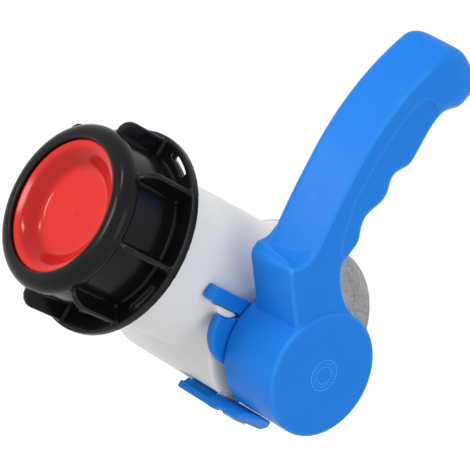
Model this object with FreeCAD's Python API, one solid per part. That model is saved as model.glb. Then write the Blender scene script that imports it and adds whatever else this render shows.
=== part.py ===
import FreeCAD, Part
import math
import os

# Outlet flap valve for a bulk liquid container, with its cap still screwed on.
# Millimetres. The origin is the centre of the foil over the inlet. The liquid flows along -Y,
# the stem of the flap points along +X and the closed lever points along +Z.
# A "station" is a distance from the inlet face along the flow, so y = -station.

# Body tube
body_mouth = 136.8
neck_radius = 30.15
bore_radius = 24.0
chamber_radius = 27.3
chamber_reach_inlet = 19.0
chamber_reach_outlet = 38.0
bore_taper = 5.0

# Inlet spigot
spigot_radius = 34.6
spigot_end_before_stem = 11.0
spigot_bore_radius = 30.5
spigot_bore_depth = 18.4
spigot_chamfer = 1.2

# Outlet thread, S60 x 6, as the plain cylinder over its crests
thread_radius = 30.0
thread_length = 26.0
thread_chamfer = 1.6
thread_radial_gap = 0.45

# Stem position and the cross housing round it
stem_station = 44.4
stem_drop = 11.66
housing_radius = 27.4
housing_far_end = -37.5
housing_near_end = 30.2
housing_chamfer = 0.6
tower_radius = 12.0
tower_end = 34.4

# Flap and its seat
disc_thickness = 3.4
disc_radius = 22.2
seal_radius = 23.2
seal_width = 1.8
seal_root_radius = 20.8
seat_gap = 0.1
seat_width = 2.4
seat_bore_radius = 21.4
seat_stem_gap = 1.2
barrel_radius = 9.2
barrel_half_length = 17.0
disc_rib_width = 2.4
disc_rib_height = 3.0
disc_rib_spacing = 10.0

# Stem
stem_radius = 7.0
stem_foot_radius = 4.9
stem_foot_end = -34.2
stem_square_start = 36.2
stem_end = 58.0
running_gap = 0.05
o_ring_section = 0.75
o_ring_stations = (27.6, 31.4)
washer_radius = 10.5

# Handle hub
hub_radius = 25.25
hub_rear = 35.2
hub_face = 65.3
hub_wall = 2.8
hub_boss_radius = 10.8
hub_rib_width = 2.0
hub_rib_count = 8
hub_edge_chamfer = 0.8

# Handle lever
lever_inner_side = 41.9
lever_outer_side = 63.9
lever_front_offset = 33.3
lever_front_set_back = 1.3
lever_set_back_height = 66.0
lever_front_tilt = 5.8
lever_root_depth = 20.6
lever_depth_growth = 0.125
lever_root_height = 40.0
lever_waist_depth = 13.2
lever_waist_height = 44.8
lever_bend_height = 73.0
lever_bend_radius = 112.0
lever_length = 139.7
lever_front_chamfer = 2.0
lever_rear_rounding = 9.0
lever_root_rounding = 2.5
grip_pitch = 19.5
grip_first_ridge = 49.7
grip_ridge_count = 3
pommel_waist = 118.0
pommel_waist_depth = 23.4
pommel_rise = 2.8
pommel_length = 10.0
grip_depth = 1.5
tip_rounding = 11.0
tip_corner_growth = 6.0

# Block at the root of the lever
block_inner_side = 39.2
block_nose_offset = 39.6
block_nose_height = 29.6
block_foot_offset = 23.6
block_foot_height = 11.6
ramp_start_rise = 4.4
ramp_middle_rise = 8.0
ramp_top_rise = 13.0
ramp_hollow = 0.9
ramp_top_inset = 1.2
root_arc_foot = 0.4
root_arc_sag = 3.4

# Lock plate between the housing and the hub
plate_gap = 0.2
plate_end_radius = 14.3
plate_end_offset = 19.1
finger_reach = 41.8
finger_top = 11.4
finger_height = 6.0
finger_gap = 2.9
catch_gap = 0.25

# Safety latch under the housing
latch_half_width = 8.0
latch_pad_start = 4.4
latch_pad_end = 24.6
latch_pivot = 25.5
latch_tip = 48.9
latch_pivot_drop = 28.9
latch_bottom_drop = 32.1
latch_side_height = 2.9
latch_lug_half_width = 4.4
latch_lug_wall = 1.2
latch_side_gap = 0.4
latch_pin_radius = 1.6
latch_tip_gap = 0.6
latch_ridge_count = 3
latch_ridge_height = 0.6
latch_ridge_rise = 1.1
latch_slope_run = 4.5
latch_keel_half_width = 3.6
latch_keel_end = 37.4
latch_tongue_bevel = 5.0
latch_recess_margin = 0.9
leaf_thickness = 0.5
leaf_half_width = 3.0

# Cap nut
nut_skirt = 24.8
nut_bezel_radius = 33.4
nut_bezel_width = 7.0
nut_wall_radius = 32.5
nut_shoulder_radius = 5.2
nut_shoulder_steps = 5
nut_lip_bore_radius = 26.5
nut_lip_width = 2.8
flange_radius = 41.0
flange_width = 3.2
flange_edge_chamfer = 0.7
rib_count = 8
rib_phase = -4.0
rib_radius = 39.6
rib_width = 2.2
rib_nose_radius = 7.0
slot_count = 4
slot_inner_radius = 36.4
slot_outer_radius = 38.5
slot_sweep = 19.0
slot_first = 0.5

# Cap insert and its gasket
insert_rim_radius = 26.35
insert_rim_inset = 1.8
insert_flange_radius = 29.7
insert_flange_width = 2.0
insert_wall = 1.8
dish_floor_radius = 17.2
dish_depth = 8.4
dish_rim_width = 1.3
dish_floor_bevel = 1.4
gate_radius = 2.0
gate_height = 0.3
gasket_width = 1.8

# Foil seal over the inlet
foil_thickness = 0.3
foil_gap = 0.05
foil_skirt = 32.4
foil_housing_gap = 0.3

X = FreeCAD.Vector(1, 0, 0)
Y = FreeCAD.Vector(0, 1, 0)
Z = FreeCAD.Vector(0, 0, 1)
ORIGIN = FreeCAD.Vector(0, 0, 0)
STEM = FreeCAD.Vector(0, -stem_station, -stem_drop)


def point(x, station, z):
    return FreeCAD.Vector(x, -station, z)


def tube_along_flow(radius, start, end):
    return Part.makeCylinder(radius, end - start, point(0, start, 0), -Y)


def tube_along_stem(radius, start, end):
    return Part.makeCylinder(radius, end - start, STEM + X * start, X)


def box(x0, x1, s0, s1, z0, z1):
    return Part.makeBox(x1 - x0, s1 - s0, z1 - z0, point(x0, s1, z0))


def square_along_stem(side, start, end):
    corner = STEM + X * start - Y * (side / 2) - Z * (side / 2)
    return Part.makeBox(end - start, side, side, corner)


def turned(outline):
    """Revolve a closed outline of (radius, station) pairs about the bore axis."""
    corners = [point(radius, station, 0) for radius, station in outline]
    face = Part.Face(Part.makePolygon(corners + corners[:1]))
    return face.revolve(ORIGIN, Y, 360)


def prism_along_stem(outline, start, end):
    """Extrude a closed outline of (forward, up) offsets from the stem axis."""
    corners = [STEM + X * start - Y * a + Z * b for a, b in outline]
    face = Part.Face(Part.makePolygon(corners + corners[:1]))
    return face.extrude(X * (end - start))


def edges_where(shape, test):
    return [edge for edge in shape.Edges if test(edge)]


def is_circle(edge, radius):
    curve = edge.Curve
    return isinstance(curve, Part.Circle) and abs(curve.Radius - radius) < 1e-6


# Body

spigot_length = stem_station - spigot_end_before_stem
chamber_start = stem_station - chamber_reach_inlet
chamber_end = stem_station + chamber_reach_outlet


def make_valve_body():
    mouth = foil_thickness
    neck_end = body_mouth - thread_length
    outer = [
        (0, mouth), (spigot_radius, mouth), (spigot_radius, spigot_length),
        (neck_radius, spigot_length), (neck_radius, neck_end), (thread_radius, neck_end),
        (thread_radius, body_mouth - thread_chamfer), (thread_radius - thread_chamfer, body_mouth),
        (0, body_mouth),
    ]
    inner = [
        (0, mouth), (spigot_bore_radius + spigot_chamfer, mouth),
        (spigot_bore_radius, mouth + spigot_chamfer), (spigot_bore_radius, spigot_bore_depth),
        (chamber_radius, chamber_start), (chamber_radius, chamber_end),
        (bore_radius, chamber_end + bore_taper), (bore_radius, body_mouth), (0, body_mouth),
    ]
    body = turned(outer)
    housing = tube_along_stem(housing_radius, housing_far_end, housing_near_end)
    ends = edges_where(housing, lambda edge: is_circle(edge, housing_radius))
    housing = housing.makeChamfer(housing_chamfer, ends)
    body = body.fuse(housing)
    body = body.fuse(tube_along_stem(tower_radius, 0, tower_end))
    body = body.cut(make_latch_recess())
    body = body.fuse(make_latch_lug())
    body = body.fuse(make_catch())
    body = body.cut(turned(inner))
    body = body.fuse(make_seat(1)).fuse(make_seat(-1))
    body = body.cut(tube_along_stem(stem_radius + running_gap, 0, tower_end + 1))
    body = body.cut(tube_along_stem(stem_foot_radius + running_gap, stem_foot_end - running_gap, 0))
    return body.removeSplitter()


def make_seat(side):
    """Half a seat ring: above the stem it faces the outlet, below it faces the inlet."""
    near = stem_station - side * (disc_thickness / 2 + seat_gap)
    far = near - side * seat_width
    start, end = min(near, far), max(near, far)
    ring = tube_along_flow(chamber_radius + 0.5, start, end)
    ring = ring.cut(tube_along_flow(seat_bore_radius, start - 1, end + 1))
    clear = barrel_radius + seat_stem_gap
    low = -stem_drop + clear if side > 0 else -spigot_radius
    high = spigot_radius if side > 0 else -stem_drop - clear
    return ring.common(box(-spigot_radius, spigot_radius, start - 1, end + 1, low, high))


def lens_outline(gap):
    """The opening between the finger and the plate, as (forward, up) offsets."""
    top = finger_top - finger_height - gap
    low = finger_top - finger_height - finger_gap + gap
    near = plate_end_offset + 5.0 + gap * 2
    far = finger_reach - 4.0 - gap * 2
    middle = (near + far) / 2
    return near, middle, far, low, top


def make_lens(gap, start, end):
    near, middle, far, low, top = lens_outline(gap)
    a = STEM + X * start - Y * near + Z * top
    b = STEM + X * start - Y * middle + Z * low
    c = STEM + X * start - Y * far + Z * top
    wire = Part.Wire([Part.Arc(a, b, c).toShape(), Part.makeLine(c, a)])
    return Part.Face(wire).extrude(X * (end - start))


def make_catch():
    return make_lens(catch_gap, bore_radius + 2.0, plate_front - 0.6)


latch_top = -stem_drop - hub_radius - latch_tip_gap
latch_low = -stem_drop - latch_bottom_drop
latch_ceiling = latch_top + latch_recess_margin + latch_ridge_height
lug_radius = latch_pin_radius + latch_lug_wall


def make_latch_recess():
    """The pocket under the housing that the latch swings up into."""
    reach = latch_half_width + latch_recess_margin
    return box(latch_pad_start - latch_recess_margin, housing_near_end + 1, stem_station - reach,
               stem_station + reach, -stem_drop - housing_radius - 1, latch_ceiling)


def make_latch_lug():
    """The ear under the housing that carries the latch pin."""
    width = latch_lug_half_width
    centre = STEM + X * latch_pivot - Z * latch_pivot_drop
    lug = Part.makeCylinder(lug_radius, 2 * width, centre - Y * width, Y)
    web = box(latch_pivot - lug_radius, latch_pivot + lug_radius, stem_station - width,
              stem_station + width, -stem_drop - latch_pivot_drop, latch_ceiling + 1.0)
    hole = Part.makeCylinder(latch_pin_radius + running_gap, 4 * width, centre - Y * (2 * width), Y)
    return lug.fuse(web).cut(hole)


# Flap, seals and stem

def make_flap_disc():
    start = stem_station - disc_thickness / 2
    end = stem_station + disc_thickness / 2
    disc = tube_along_flow(disc_radius, start, end)
    barrel = tube_along_stem(barrel_radius, -barrel_half_length, barrel_half_length)
    ribs = [
        box(offset - disc_rib_width / 2, offset + disc_rib_width / 2, start - disc_rib_height,
            start, -stem_drop, math.sqrt(seat_bore_radius ** 2 - offset ** 2) - 1.5)
        for offset in (-disc_rib_spacing, 0.0, disc_rib_spacing)
    ]
    disc = disc.fuse([barrel] + ribs)
    middle = stem_station
    groove = tube_along_flow(disc_radius + 1, middle - seal_width / 2, middle + seal_width / 2)
    groove = groove.cut(tube_along_flow(seal_root_radius, start, end))
    groove = groove.cut(tube_along_stem(barrel_radius, -seal_radius, seal_radius))
    disc = disc.cut(groove)
    disc = disc.cut(square_along_stem(stem_side + 2 * running_gap, -disc_radius, barrel_half_length + 1))
    return disc.cut(tube_along_stem(stem_radius + running_gap, barrel_half_length, disc_radius))


def make_flap_seal(side):
    """One arc of the lip seal, above or below the barrel."""
    start = stem_station - seal_width / 2
    end = stem_station + seal_width / 2
    ring = tube_along_flow(seal_radius, start, end).cut(tube_along_flow(seal_root_radius, start, end))
    ring = ring.cut(tube_along_stem(barrel_radius, -seal_radius - 1, seal_radius + 1))
    pieces = sorted(ring.Solids, key=lambda solid: solid.CenterOfMass.z)
    return pieces[-1] if side > 0 else pieces[0]


stem_side = stem_radius * math.sqrt(2)


def make_valve_stem():
    foot = tube_along_stem(stem_foot_radius, stem_foot_end, 0)
    square = square_along_stem(stem_side, -barrel_half_length, stem_end)
    journal = tube_along_stem(stem_radius, barrel_half_length + 0.5, stem_square_start)
    stem = square.common(tube_along_stem(stem_radius - 0.05, -barrel_half_length, stem_end))
    stem = foot.fuse([stem, journal])
    for station in o_ring_stations:
        groove = tube_along_stem(stem_radius + 1, station - o_ring_section, station + o_ring_section)
        groove = groove.cut(tube_along_stem(stem_radius - 2 * o_ring_section, station - 2, station + 2))
        stem = stem.cut(groove)
    return stem


def make_o_ring(station):
    """A ring of six-sided section, spun round the stem."""
    centre = STEM + X * station + Z * (stem_radius - o_ring_section)
    angles = [math.radians(60 * index) for index in range(6)]
    corners = [centre + (X * math.sin(angle) + Z * math.cos(angle)) * o_ring_section for angle in angles]
    return Part.Face(Part.makePolygon(corners + corners[:1])).revolve(STEM, X, 360)


def make_stem_washer():
    washer = tube_along_stem(washer_radius, tower_end + 0.1, washer_end)
    return washer.cut(tube_along_stem(stem_radius + running_gap, tower_end, washer_end + 1))


washer_end = stem_square_start - 0.1

# Lock plate

plate_rear = housing_near_end + plate_gap
plate_front = hub_rear - plate_gap - 0.3


def make_lock_plate():
    ends = [STEM + X * plate_rear - Y * (side * plate_end_offset) for side in (1, -1)]
    width = plate_front - plate_rear
    rounds = [Part.makeCylinder(plate_end_radius, width, centre, X) for centre in ends]
    middle = box(plate_rear, plate_front, stem_station - plate_end_offset, stem_station + plate_end_offset,
                 -stem_drop - plate_end_radius, -stem_drop + plate_end_radius)
    plate = rounds[0].fuse([rounds[1], middle]).removeSplitter()
    front_cut = [
        (plate_end_offset + 5.0, finger_top - finger_height - finger_gap / 2),
        (finger_reach, finger_top - finger_height - finger_gap / 2),
        (finger_reach, plate_end_radius + 2), (plate_end_offset - 2.0, plate_end_radius + 2),
        (plate_end_offset - 2.0, finger_top),
    ]
    plate = plate.cut(prism_along_stem(front_cut, plate_rear - 1, plate_front + 1))
    plate = plate.cut(tube_along_flow(2 * hub_face, 0, spigot_length + plate_gap))
    finger = [
        (plate_end_offset - 3.0, finger_top), (finger_reach, finger_top),
        (finger_reach + 0.9, finger_top - finger_height + 1.0),
        (finger_reach, finger_top - finger_height), (plate_end_offset - 3.0, finger_top - finger_height),
    ]
    plate = plate.fuse(prism_along_stem(finger, plate_rear, plate_front - 0.4))
    plate = plate.cut(make_lens(0.0, plate_rear - 1, plate_front + 1))
    bore = tower_radius + running_gap
    return plate.cut(tube_along_stem(bore, plate_rear - 1, plate_front + 1)).removeSplitter()


# Handle

def make_hub():
    hub = tube_along_stem(hub_radius, hub_rear, hub_face)
    rim = edges_where(hub, lambda edge: is_circle(edge, hub_radius) and edge.CenterOfMass.x > hub_rear + 1)
    hub = hub.makeChamfer(hub_edge_chamfer, rim)
    cavity = tube_along_stem(hub_radius - hub_wall, hub_rear - 1, hub_face - hub_wall)
    hub = hub.cut(cavity)
    boss = tube_along_stem(hub_boss_radius, stem_square_start, hub_face - hub_wall / 2)
    rib = box(washer_end + 2.0, hub_face - hub_wall / 2, stem_station - hub_rib_width / 2,
              stem_station + hub_rib_width / 2, -stem_drop, -stem_drop + hub_radius - hub_wall / 2)
    ribs = []
    for index in range(hub_rib_count):
        copy = rib.copy()
        copy.rotate(STEM, X, index * 360.0 / hub_rib_count)
        ribs.append(copy)
    hub = hub.fuse([boss] + ribs)
    socket = square_along_stem(stem_side + 2 * running_gap, hub_rear - 1, stem_end + 0.3)
    return hub.cut(socket)


def lever_point(length):
    """Front line of the lever: straight, then bent to the rear, as (forward, up, lean)."""
    straight = lever_bend_height
    if length <= straight:
        below = max(0.0, lever_set_back_height - length)
        share = below / (lever_set_back_height - lever_root_height)
        return lever_front_offset - lever_front_set_back * share * share, length, 0.0
    angle = (length - straight) / lever_bend_radius
    forward = lever_front_offset - lever_bend_radius * (1 - math.cos(angle))
    return forward, straight + lever_bend_radius * math.sin(angle), angle


def eased_section(corners, radii):
    """A closed wire, its two front corners chamfered and its two rear corners rounded."""
    edges = []
    points = []
    count = len(corners)
    for index, corner in enumerate(corners):
        before = (corners[index - 1] - corner).normalize()
        after = (corners[(index + 1) % count] - corner).normalize()
        half = before.getAngle(after) / 2
        reach = radii[index] / math.tan(half)
        middle = (before + after).normalize() * (radii[index] / math.sin(half) - radii[index])
        points.append((corner + before * reach, corner + middle, corner + after * reach))
    for index, (first, middle, last) in enumerate(points):
        if index < 2:
            edges.append(Part.makeLine(first, last))
        else:
            edges.append(Part.Arc(first, middle, last).toShape())
        edges.append(Part.makeLine(last, points[(index + 1) % count][0]))
    return Part.Wire(edges)


def smooth(share):
    share = min(1.0, max(0.0, share))
    return share * share * (3 - 2 * share)


def lever_depth(length):
    """Depth of the lever from its front line to the finger grips behind."""
    last_ridge = grip_first_ridge + (grip_ridge_count - 1) * grip_pitch
    held = min(max(length, grip_first_ridge), last_ridge)
    depth = lever_root_depth + lever_depth_growth * (held - lever_root_height)
    phase = 2 * math.pi * (held - grip_first_ridge) / grip_pitch
    depth = depth - grip_depth * (1 - math.cos(phase))
    if length < grip_first_ridge:
        share = smooth((length - lever_waist_height) / (grip_first_ridge - lever_waist_height))
        return lever_waist_depth + (depth - lever_waist_depth) * share
    if length > last_ridge:
        share = smooth((length - last_ridge) / (pommel_waist - last_ridge))
        depth = depth + (pommel_waist_depth - depth) * share
        depth = depth + pommel_rise * smooth((length - pommel_waist) / pommel_length)
    return depth


def lever_section(length):
    forward, up, lean = lever_point(length)
    depth = lever_depth(length)
    front = STEM - Y * forward + Z * up
    rearward = Y * math.cos(lean) - Z * math.sin(lean)
    corners = [
        front + X * lever_inner_side - rearward * lever_front_tilt,
        front + X * lever_outer_side,
        front + X * lever_outer_side + rearward * depth,
        front + X * lever_inner_side + rearward * depth,
    ]
    remaining = (lever_length - length) / tip_rounding
    scale = 1.0
    if remaining < 1.0:
        scale = 0.08 + 0.92 * math.sqrt(1 - (1 - remaining) ** 2)
    centre = (corners[0] + corners[1] + corners[2] + corners[3]) / 4
    corners = [centre + (corner - centre) * scale for corner in corners]
    opened = min(1.0, max(0.0, (length - block_nose_height) / 25.0))
    rear = lever_root_rounding + (lever_rear_rounding - lever_root_rounding) * opened
    chamfer = lever_front_chamfer * scale + tip_corner_growth * scale * (1 - scale)
    radii = [chamfer] * 2 + [rear * scale] * 2
    return eased_section(corners, radii)


def make_lever():
    spacing = grip_pitch / 4
    start = grip_first_ridge - grip_pitch
    count = int((lever_length - tip_rounding - start) / spacing)
    lengths = [start + spacing * index for index in range(count)]
    lengths = lengths + [lever_length - tip_rounding * share for share in (1.0, 0.7, 0.42, 0.2, 0.07, 0.01)]
    return Part.makeLoft([lever_section(length) for length in lengths], True, False)


def make_block():
    """The wedge at the lever's root, with a hollow ramp above its nose."""
    nose = block_nose_offset
    high = block_nose_height
    foot = [
        (0, 0), (block_foot_offset, block_foot_height), (nose - 1.0, high - 2.0), (nose, high),
    ]
    ramp_start = STEM - Y * (nose - 0.6) + Z * (high + ramp_start_rise)
    ramp_end = STEM - Y * (lever_front_offset + ramp_top_inset) + Z * (high + ramp_top_rise)
    ramp_middle = ramp_end - Y * ramp_hollow + Z * (ramp_middle_rise - ramp_top_rise)
    back = STEM - Y * (lever_front_offset - lever_root_depth / 2) + Z * (high + ramp_top_rise)
    lower = [STEM - Y * a + Z * b for a, b in foot]
    edges = [Part.makeLine(lower[i], lower[i + 1]) for i in range(len(lower) - 1)]
    edges.append(Part.makeLine(lower[-1], ramp_start))
    edges.append(Part.Arc(ramp_start, ramp_middle, ramp_end).toShape())
    edges.append(Part.makeLine(ramp_end, back))
    edges.append(Part.makeLine(back, lower[0]))
    face = Part.Face(Part.Wire(edges))
    face.translate(X * block_inner_side)
    return face.extrude(X * (lever_outer_side - block_inner_side))


def make_root_web():
    """The flare behind the lever, running down into the top of the hub."""
    back = lever_point(lever_waist_height)[0] - lever_waist_depth
    start = STEM - Y * back + Z * lever_waist_height
    end = STEM + Y * root_arc_foot + Z * (hub_radius + 0.2)
    chord = end - start
    across = FreeCAD.Vector(0, chord.z, -chord.y).normalize()
    middle = (start + end) / 2 + across * root_arc_sag
    inside = STEM - Y * lever_front_offset * 0.8 + Z * lever_waist_height
    edges = [
        Part.Arc(start, middle, end).toShape(), Part.makeLine(end, STEM),
        Part.makeLine(STEM, inside), Part.makeLine(inside, start),
    ]
    face = Part.Face(Part.Wire(edges))
    face.translate(X * (lever_inner_side + 1.5))
    return face.extrude(X * (lever_outer_side - lever_inner_side - 1.5))


def make_handle():
    grip = make_lever().fuse([make_block(), make_root_web()])
    core = tube_along_stem(hub_radius - hub_wall / 2, hub_rear - 5, hub_face + 5)
    grip = grip.cut(core)
    return make_hub().fuse(grip).removeSplitter()


# Safety latch

def at_latch(x, z):
    return FreeCAD.Vector(x, -stem_station - latch_half_width, z)


def make_latch_tongue():
    """The hump over the pivot and the scooped tongue under the hub, seen along the flow."""
    hump = latch_pad_end + 1.6
    scoop = latch_keel_end - 4.5
    belly = latch_tip - latch_half_width
    edges = [
        Part.makeLine(at_latch(latch_pad_end, latch_low), at_latch(latch_pad_end, latch_top - 1.6)),
        Part.Arc(at_latch(latch_pad_end, latch_top - 1.6), at_latch(latch_pad_end + 0.5, latch_top - 0.5),
                 at_latch(hump, latch_top)).toShape(),
        Part.makeLine(at_latch(hump, latch_top), at_latch(latch_tip, latch_top)),
        Part.makeLine(at_latch(latch_tip, latch_top), at_latch(latch_tip, latch_top - 0.7)),
        Part.Arc(at_latch(latch_tip, latch_top - 0.7), at_latch(latch_tip - 4.2, latch_top - 3.2),
                 at_latch(belly, latch_low + 1.0)).toShape(),
        Part.Arc(at_latch(belly, latch_low + 1.0), at_latch((belly + scoop) / 2, latch_low + 1.3),
                 at_latch(scoop, latch_low + 1.7)).toShape(),
        Part.Arc(at_latch(scoop, latch_low + 1.7), at_latch(scoop - 2.4, latch_low + 1.2),
                 at_latch(scoop - 4.4, latch_low)).toShape(),
        Part.makeLine(at_latch(scoop - 4.4, latch_low), at_latch(latch_pad_end, latch_low)),
    ]
    tongue = Part.Face(Part.Wire(edges)).extrude(Y * (2 * latch_half_width))
    height = latch_top - latch_low
    plan = Part.makeCylinder(latch_half_width, height + 2, point(belly, stem_station, latch_low - 1), Z)
    plan = plan.fuse(box(latch_pad_end - 1, belly, stem_station - latch_half_width,
                         stem_station + latch_half_width, latch_low - 1, latch_top + 1))
    tongue = tongue.common(plan)
    near = latch_half_width + 1.0
    for side in (1, -1):
        bevel = [
            (side * near, latch_top + stem_drop - latch_tongue_bevel * 0.75),
            (side * near, latch_top + stem_drop + 1.0),
            (side * (near - latch_tongue_bevel - 1.0), latch_top + stem_drop + 1.0),
        ]
        tongue = tongue.cut(prism_along_stem(bevel, scoop - 2.0, latch_tip + 1.0))
    return tongue


def make_latch_pad():
    """The finger pad: both upper slopes carry ridges along the stem."""
    low = latch_low + stem_drop
    shoulder = low + latch_side_height
    run = latch_slope_run / latch_ridge_count
    slope = [(latch_half_width, low), (latch_half_width, shoulder)]
    for index in range(latch_ridge_count):
        forward = latch_half_width - index * run
        up = shoulder + index * latch_ridge_rise
        slope.append((forward - run * 0.25, up + latch_ridge_height))
        slope.append((forward - run * 0.6, up + latch_ridge_height))
        slope.append((forward - run, up + latch_ridge_rise - 0.2))
    mirrored = [(-forward, up) for forward, up in reversed(slope)]
    return prism_along_stem(slope + mirrored, latch_pad_start, latch_pad_end + 1.0)


def make_safety_latch():
    latch = make_latch_tongue().fuse(make_latch_pad())
    keel = box(latch_pad_end + 1.0, latch_keel_end, stem_station - latch_keel_half_width,
               stem_station + latch_keel_half_width, latch_low + leaf_thickness, latch_low + 3.0)
    latch = latch.fuse(keel)
    leaf_bed = box(leaf_start, latch_keel_end + 1.0, stem_station - latch_keel_half_width,
                   stem_station + latch_keel_half_width, latch_low - 1.0, latch_low + leaf_thickness)
    slot_half = latch_lug_half_width + latch_side_gap
    slot_reach = lug_radius + 2 * latch_side_gap
    slot = box(latch_pivot - slot_reach, latch_pivot + slot_reach, stem_station - slot_half,
               stem_station + slot_half, latch_low - 1.0, latch_top + 1.0)
    return latch.cut(leaf_bed).cut(slot).cut(make_latch_pin())


def make_latch_pin():
    length = 2 * latch_half_width - 2.4
    centre = STEM + X * latch_pivot - Z * latch_pivot_drop
    return Part.makeCylinder(latch_pin_radius, length, centre - Y * (length / 2), Y)


leaf_start = latch_pivot + lug_radius + 2 * latch_side_gap + 0.4


def make_latch_leaf():
    """A flat steel leaf set in the underside of the latch, beside the pivot."""
    return box(leaf_start, latch_keel_end, stem_station - leaf_half_width,
               stem_station + leaf_half_width, latch_low, latch_low + leaf_thickness)


# Cap: nut, insert, gasket

nut_bore_radius = thread_radius + thread_radial_gap
nut_rear = body_mouth - nut_skirt
nut_front = body_mouth + gasket_width + insert_flange_width + nut_lip_width


def make_cap_nut():
    lip = nut_front - nut_lip_width
    bezel_rear = nut_front - nut_bezel_width
    outline = [
        (nut_bore_radius, nut_rear), (flange_radius, nut_rear),
        (flange_radius, nut_rear + flange_width), (nut_wall_radius, nut_rear + flange_width),
        (nut_wall_radius, bezel_rear), (nut_bezel_radius, bezel_rear),
    ]
    for step in range(nut_shoulder_steps + 1):
        angle = math.radians(90.0 * step / nut_shoulder_steps)
        outline.append((nut_bezel_radius - nut_shoulder_radius * (1 - math.cos(angle)),
                        nut_front - nut_shoulder_radius * (1 - math.sin(angle))))
    outline += [(nut_lip_bore_radius, nut_front), (nut_lip_bore_radius, lip), (nut_bore_radius, lip)]
    nut = turned(outline)
    flange_rims = edges_where(nut, lambda e: is_circle(e, flange_radius))
    nut = nut.makeChamfer(flange_edge_chamfer, flange_rims)
    rib = make_nut_rib()
    pitch = 360.0 / rib_count
    ribs = []
    slots = []
    for index in range(rib_count):
        turn = rib_phase + index * pitch
        copy = rib.copy()
        copy.rotate(ORIGIN, Y, -turn)
        ribs.append(copy)
    for index in range(slot_count):
        slot = make_flange_slot()
        slot.rotate(ORIGIN, Y, -rib_phase - pitch * slot_first - index * 360.0 / slot_count)
        slots.append(slot)
    nut = nut.fuse(ribs).cut(Part.makeCompound(slots))
    nut = nut.cut(tube_along_flow(nut_bore_radius, nut_rear - 1, lip))
    return nut.removeSplitter()


def make_nut_rib():
    half = rib_width / 2
    shoulder = nut_front - nut_bezel_width + 0.8
    start = nut_rear + flange_width / 2
    outline = [
        FreeCAD.Vector(nut_wall_radius - 1, -start, 0), FreeCAD.Vector(rib_radius, -start, 0),
        FreeCAD.Vector(rib_radius, -(shoulder - rib_nose_radius), 0),
        FreeCAD.Vector(nut_wall_radius - 0.1, -shoulder, 0), FreeCAD.Vector(nut_wall_radius - 1, -shoulder, 0),
    ]
    bulge = FreeCAD.Vector(rib_radius - 1.6, -(shoulder - rib_nose_radius * 0.36), 0)
    edges = [
        Part.makeLine(outline[0], outline[1]), Part.makeLine(outline[1], outline[2]),
        Part.Arc(outline[2], bulge, outline[3]).toShape(),
        Part.makeLine(outline[3], outline[4]), Part.makeLine(outline[4], outline[0]),
    ]
    face = Part.Face(Part.Wire(edges))
    face.translate(Z * -half)
    return face.extrude(Z * rib_width)


def make_flange_slot():
    """An arc slot through the flange, centred on +X."""
    slot = Part.makeCylinder(slot_outer_radius, flange_width + 2, ORIGIN, Z, slot_sweep)
    slot = slot.cut(Part.makeCylinder(slot_inner_radius, flange_width + 2, ORIGIN, Z))
    slot.rotate(ORIGIN, Z, -slot_sweep / 2)
    slot.rotate(ORIGIN, X, 90)
    slot.translate(point(0, nut_rear - 1, 0))
    return slot


def make_cap_insert():
    """The dished plug that the nut clamps against the mouth of the body."""
    rim = nut_front - insert_rim_inset
    flange_front = nut_front - nut_lip_width
    flange_rear = flange_front - insert_flange_width
    floor = nut_front - dish_depth
    dish_rim = insert_rim_radius - dish_rim_width
    outline = [
        (0, floor), (dish_floor_radius - dish_floor_bevel, floor),
        (dish_floor_radius + dish_floor_bevel / 2, floor + dish_floor_bevel),
        (dish_rim, rim), (insert_rim_radius, rim - 0.4),
        (insert_rim_radius, flange_front), (insert_flange_radius, flange_front),
        (insert_flange_radius, flange_rear), (dish_rim - 2.6, flange_rear),
        (dish_floor_radius + insert_wall * 0.7, floor - insert_wall), (0, floor - insert_wall),
    ]
    insert = turned(outline)
    return insert.fuse(tube_along_flow(gate_radius, floor - 0.5, floor + gate_height))


def make_cap_gasket():
    outer = tube_along_flow(insert_flange_radius, body_mouth, body_mouth + gasket_width)
    return outer.cut(tube_along_flow(bore_radius, body_mouth - 1, body_mouth + gasket_width + 1))


# Foil

def make_foil_seal():
    return tube_along_flow(spigot_radius, 0, foil_thickness)


def make_foil_sleeve():
    inner = spigot_radius + foil_gap
    sleeve = tube_along_flow(inner + foil_thickness, 0, foil_skirt)
    sleeve = sleeve.cut(tube_along_flow(inner, -1, foil_skirt + 1))
    relief = housing_radius + foil_housing_gap
    sleeve = sleeve.cut(tube_along_stem(relief, housing_far_end - 1, hub_face))
    return max(sleeve.Solids, key=lambda solid: solid.Volume)


NODES = {
    "valve_body": make_valve_body,
    "foil_seal": make_foil_seal,
    "foil_sleeve": make_foil_sleeve,
    "flap_disc": make_flap_disc,
    "flap_seal_upper": lambda: make_flap_seal(1),
    "flap_seal_lower": lambda: make_flap_seal(-1),
    "valve_stem": make_valve_stem,
    "stem_o_ring_inner": lambda: make_o_ring(o_ring_stations[0]),
    "stem_o_ring_outer": lambda: make_o_ring(o_ring_stations[1]),
    "stem_washer": make_stem_washer,
    "lock_plate": make_lock_plate,
    "handle": make_handle,
    "safety_latch": make_safety_latch,
    "latch_pin": make_latch_pin,
    "latch_leaf": make_latch_leaf,
    "cap_nut": make_cap_nut,
    "cap_insert": make_cap_insert,
    "cap_gasket": make_cap_gasket,
}

os.makedirs("parts", exist_ok=True)
for name, make in NODES.items():
    shape = make()
    shape.exportStep("parts/" + name + ".step")
    print(name, len(shape.Solids), shape.isValid(), round(shape.Volume, 1))
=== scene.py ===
import math

import bmesh
import bpy
from mathutils import Matrix, Vector


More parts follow.
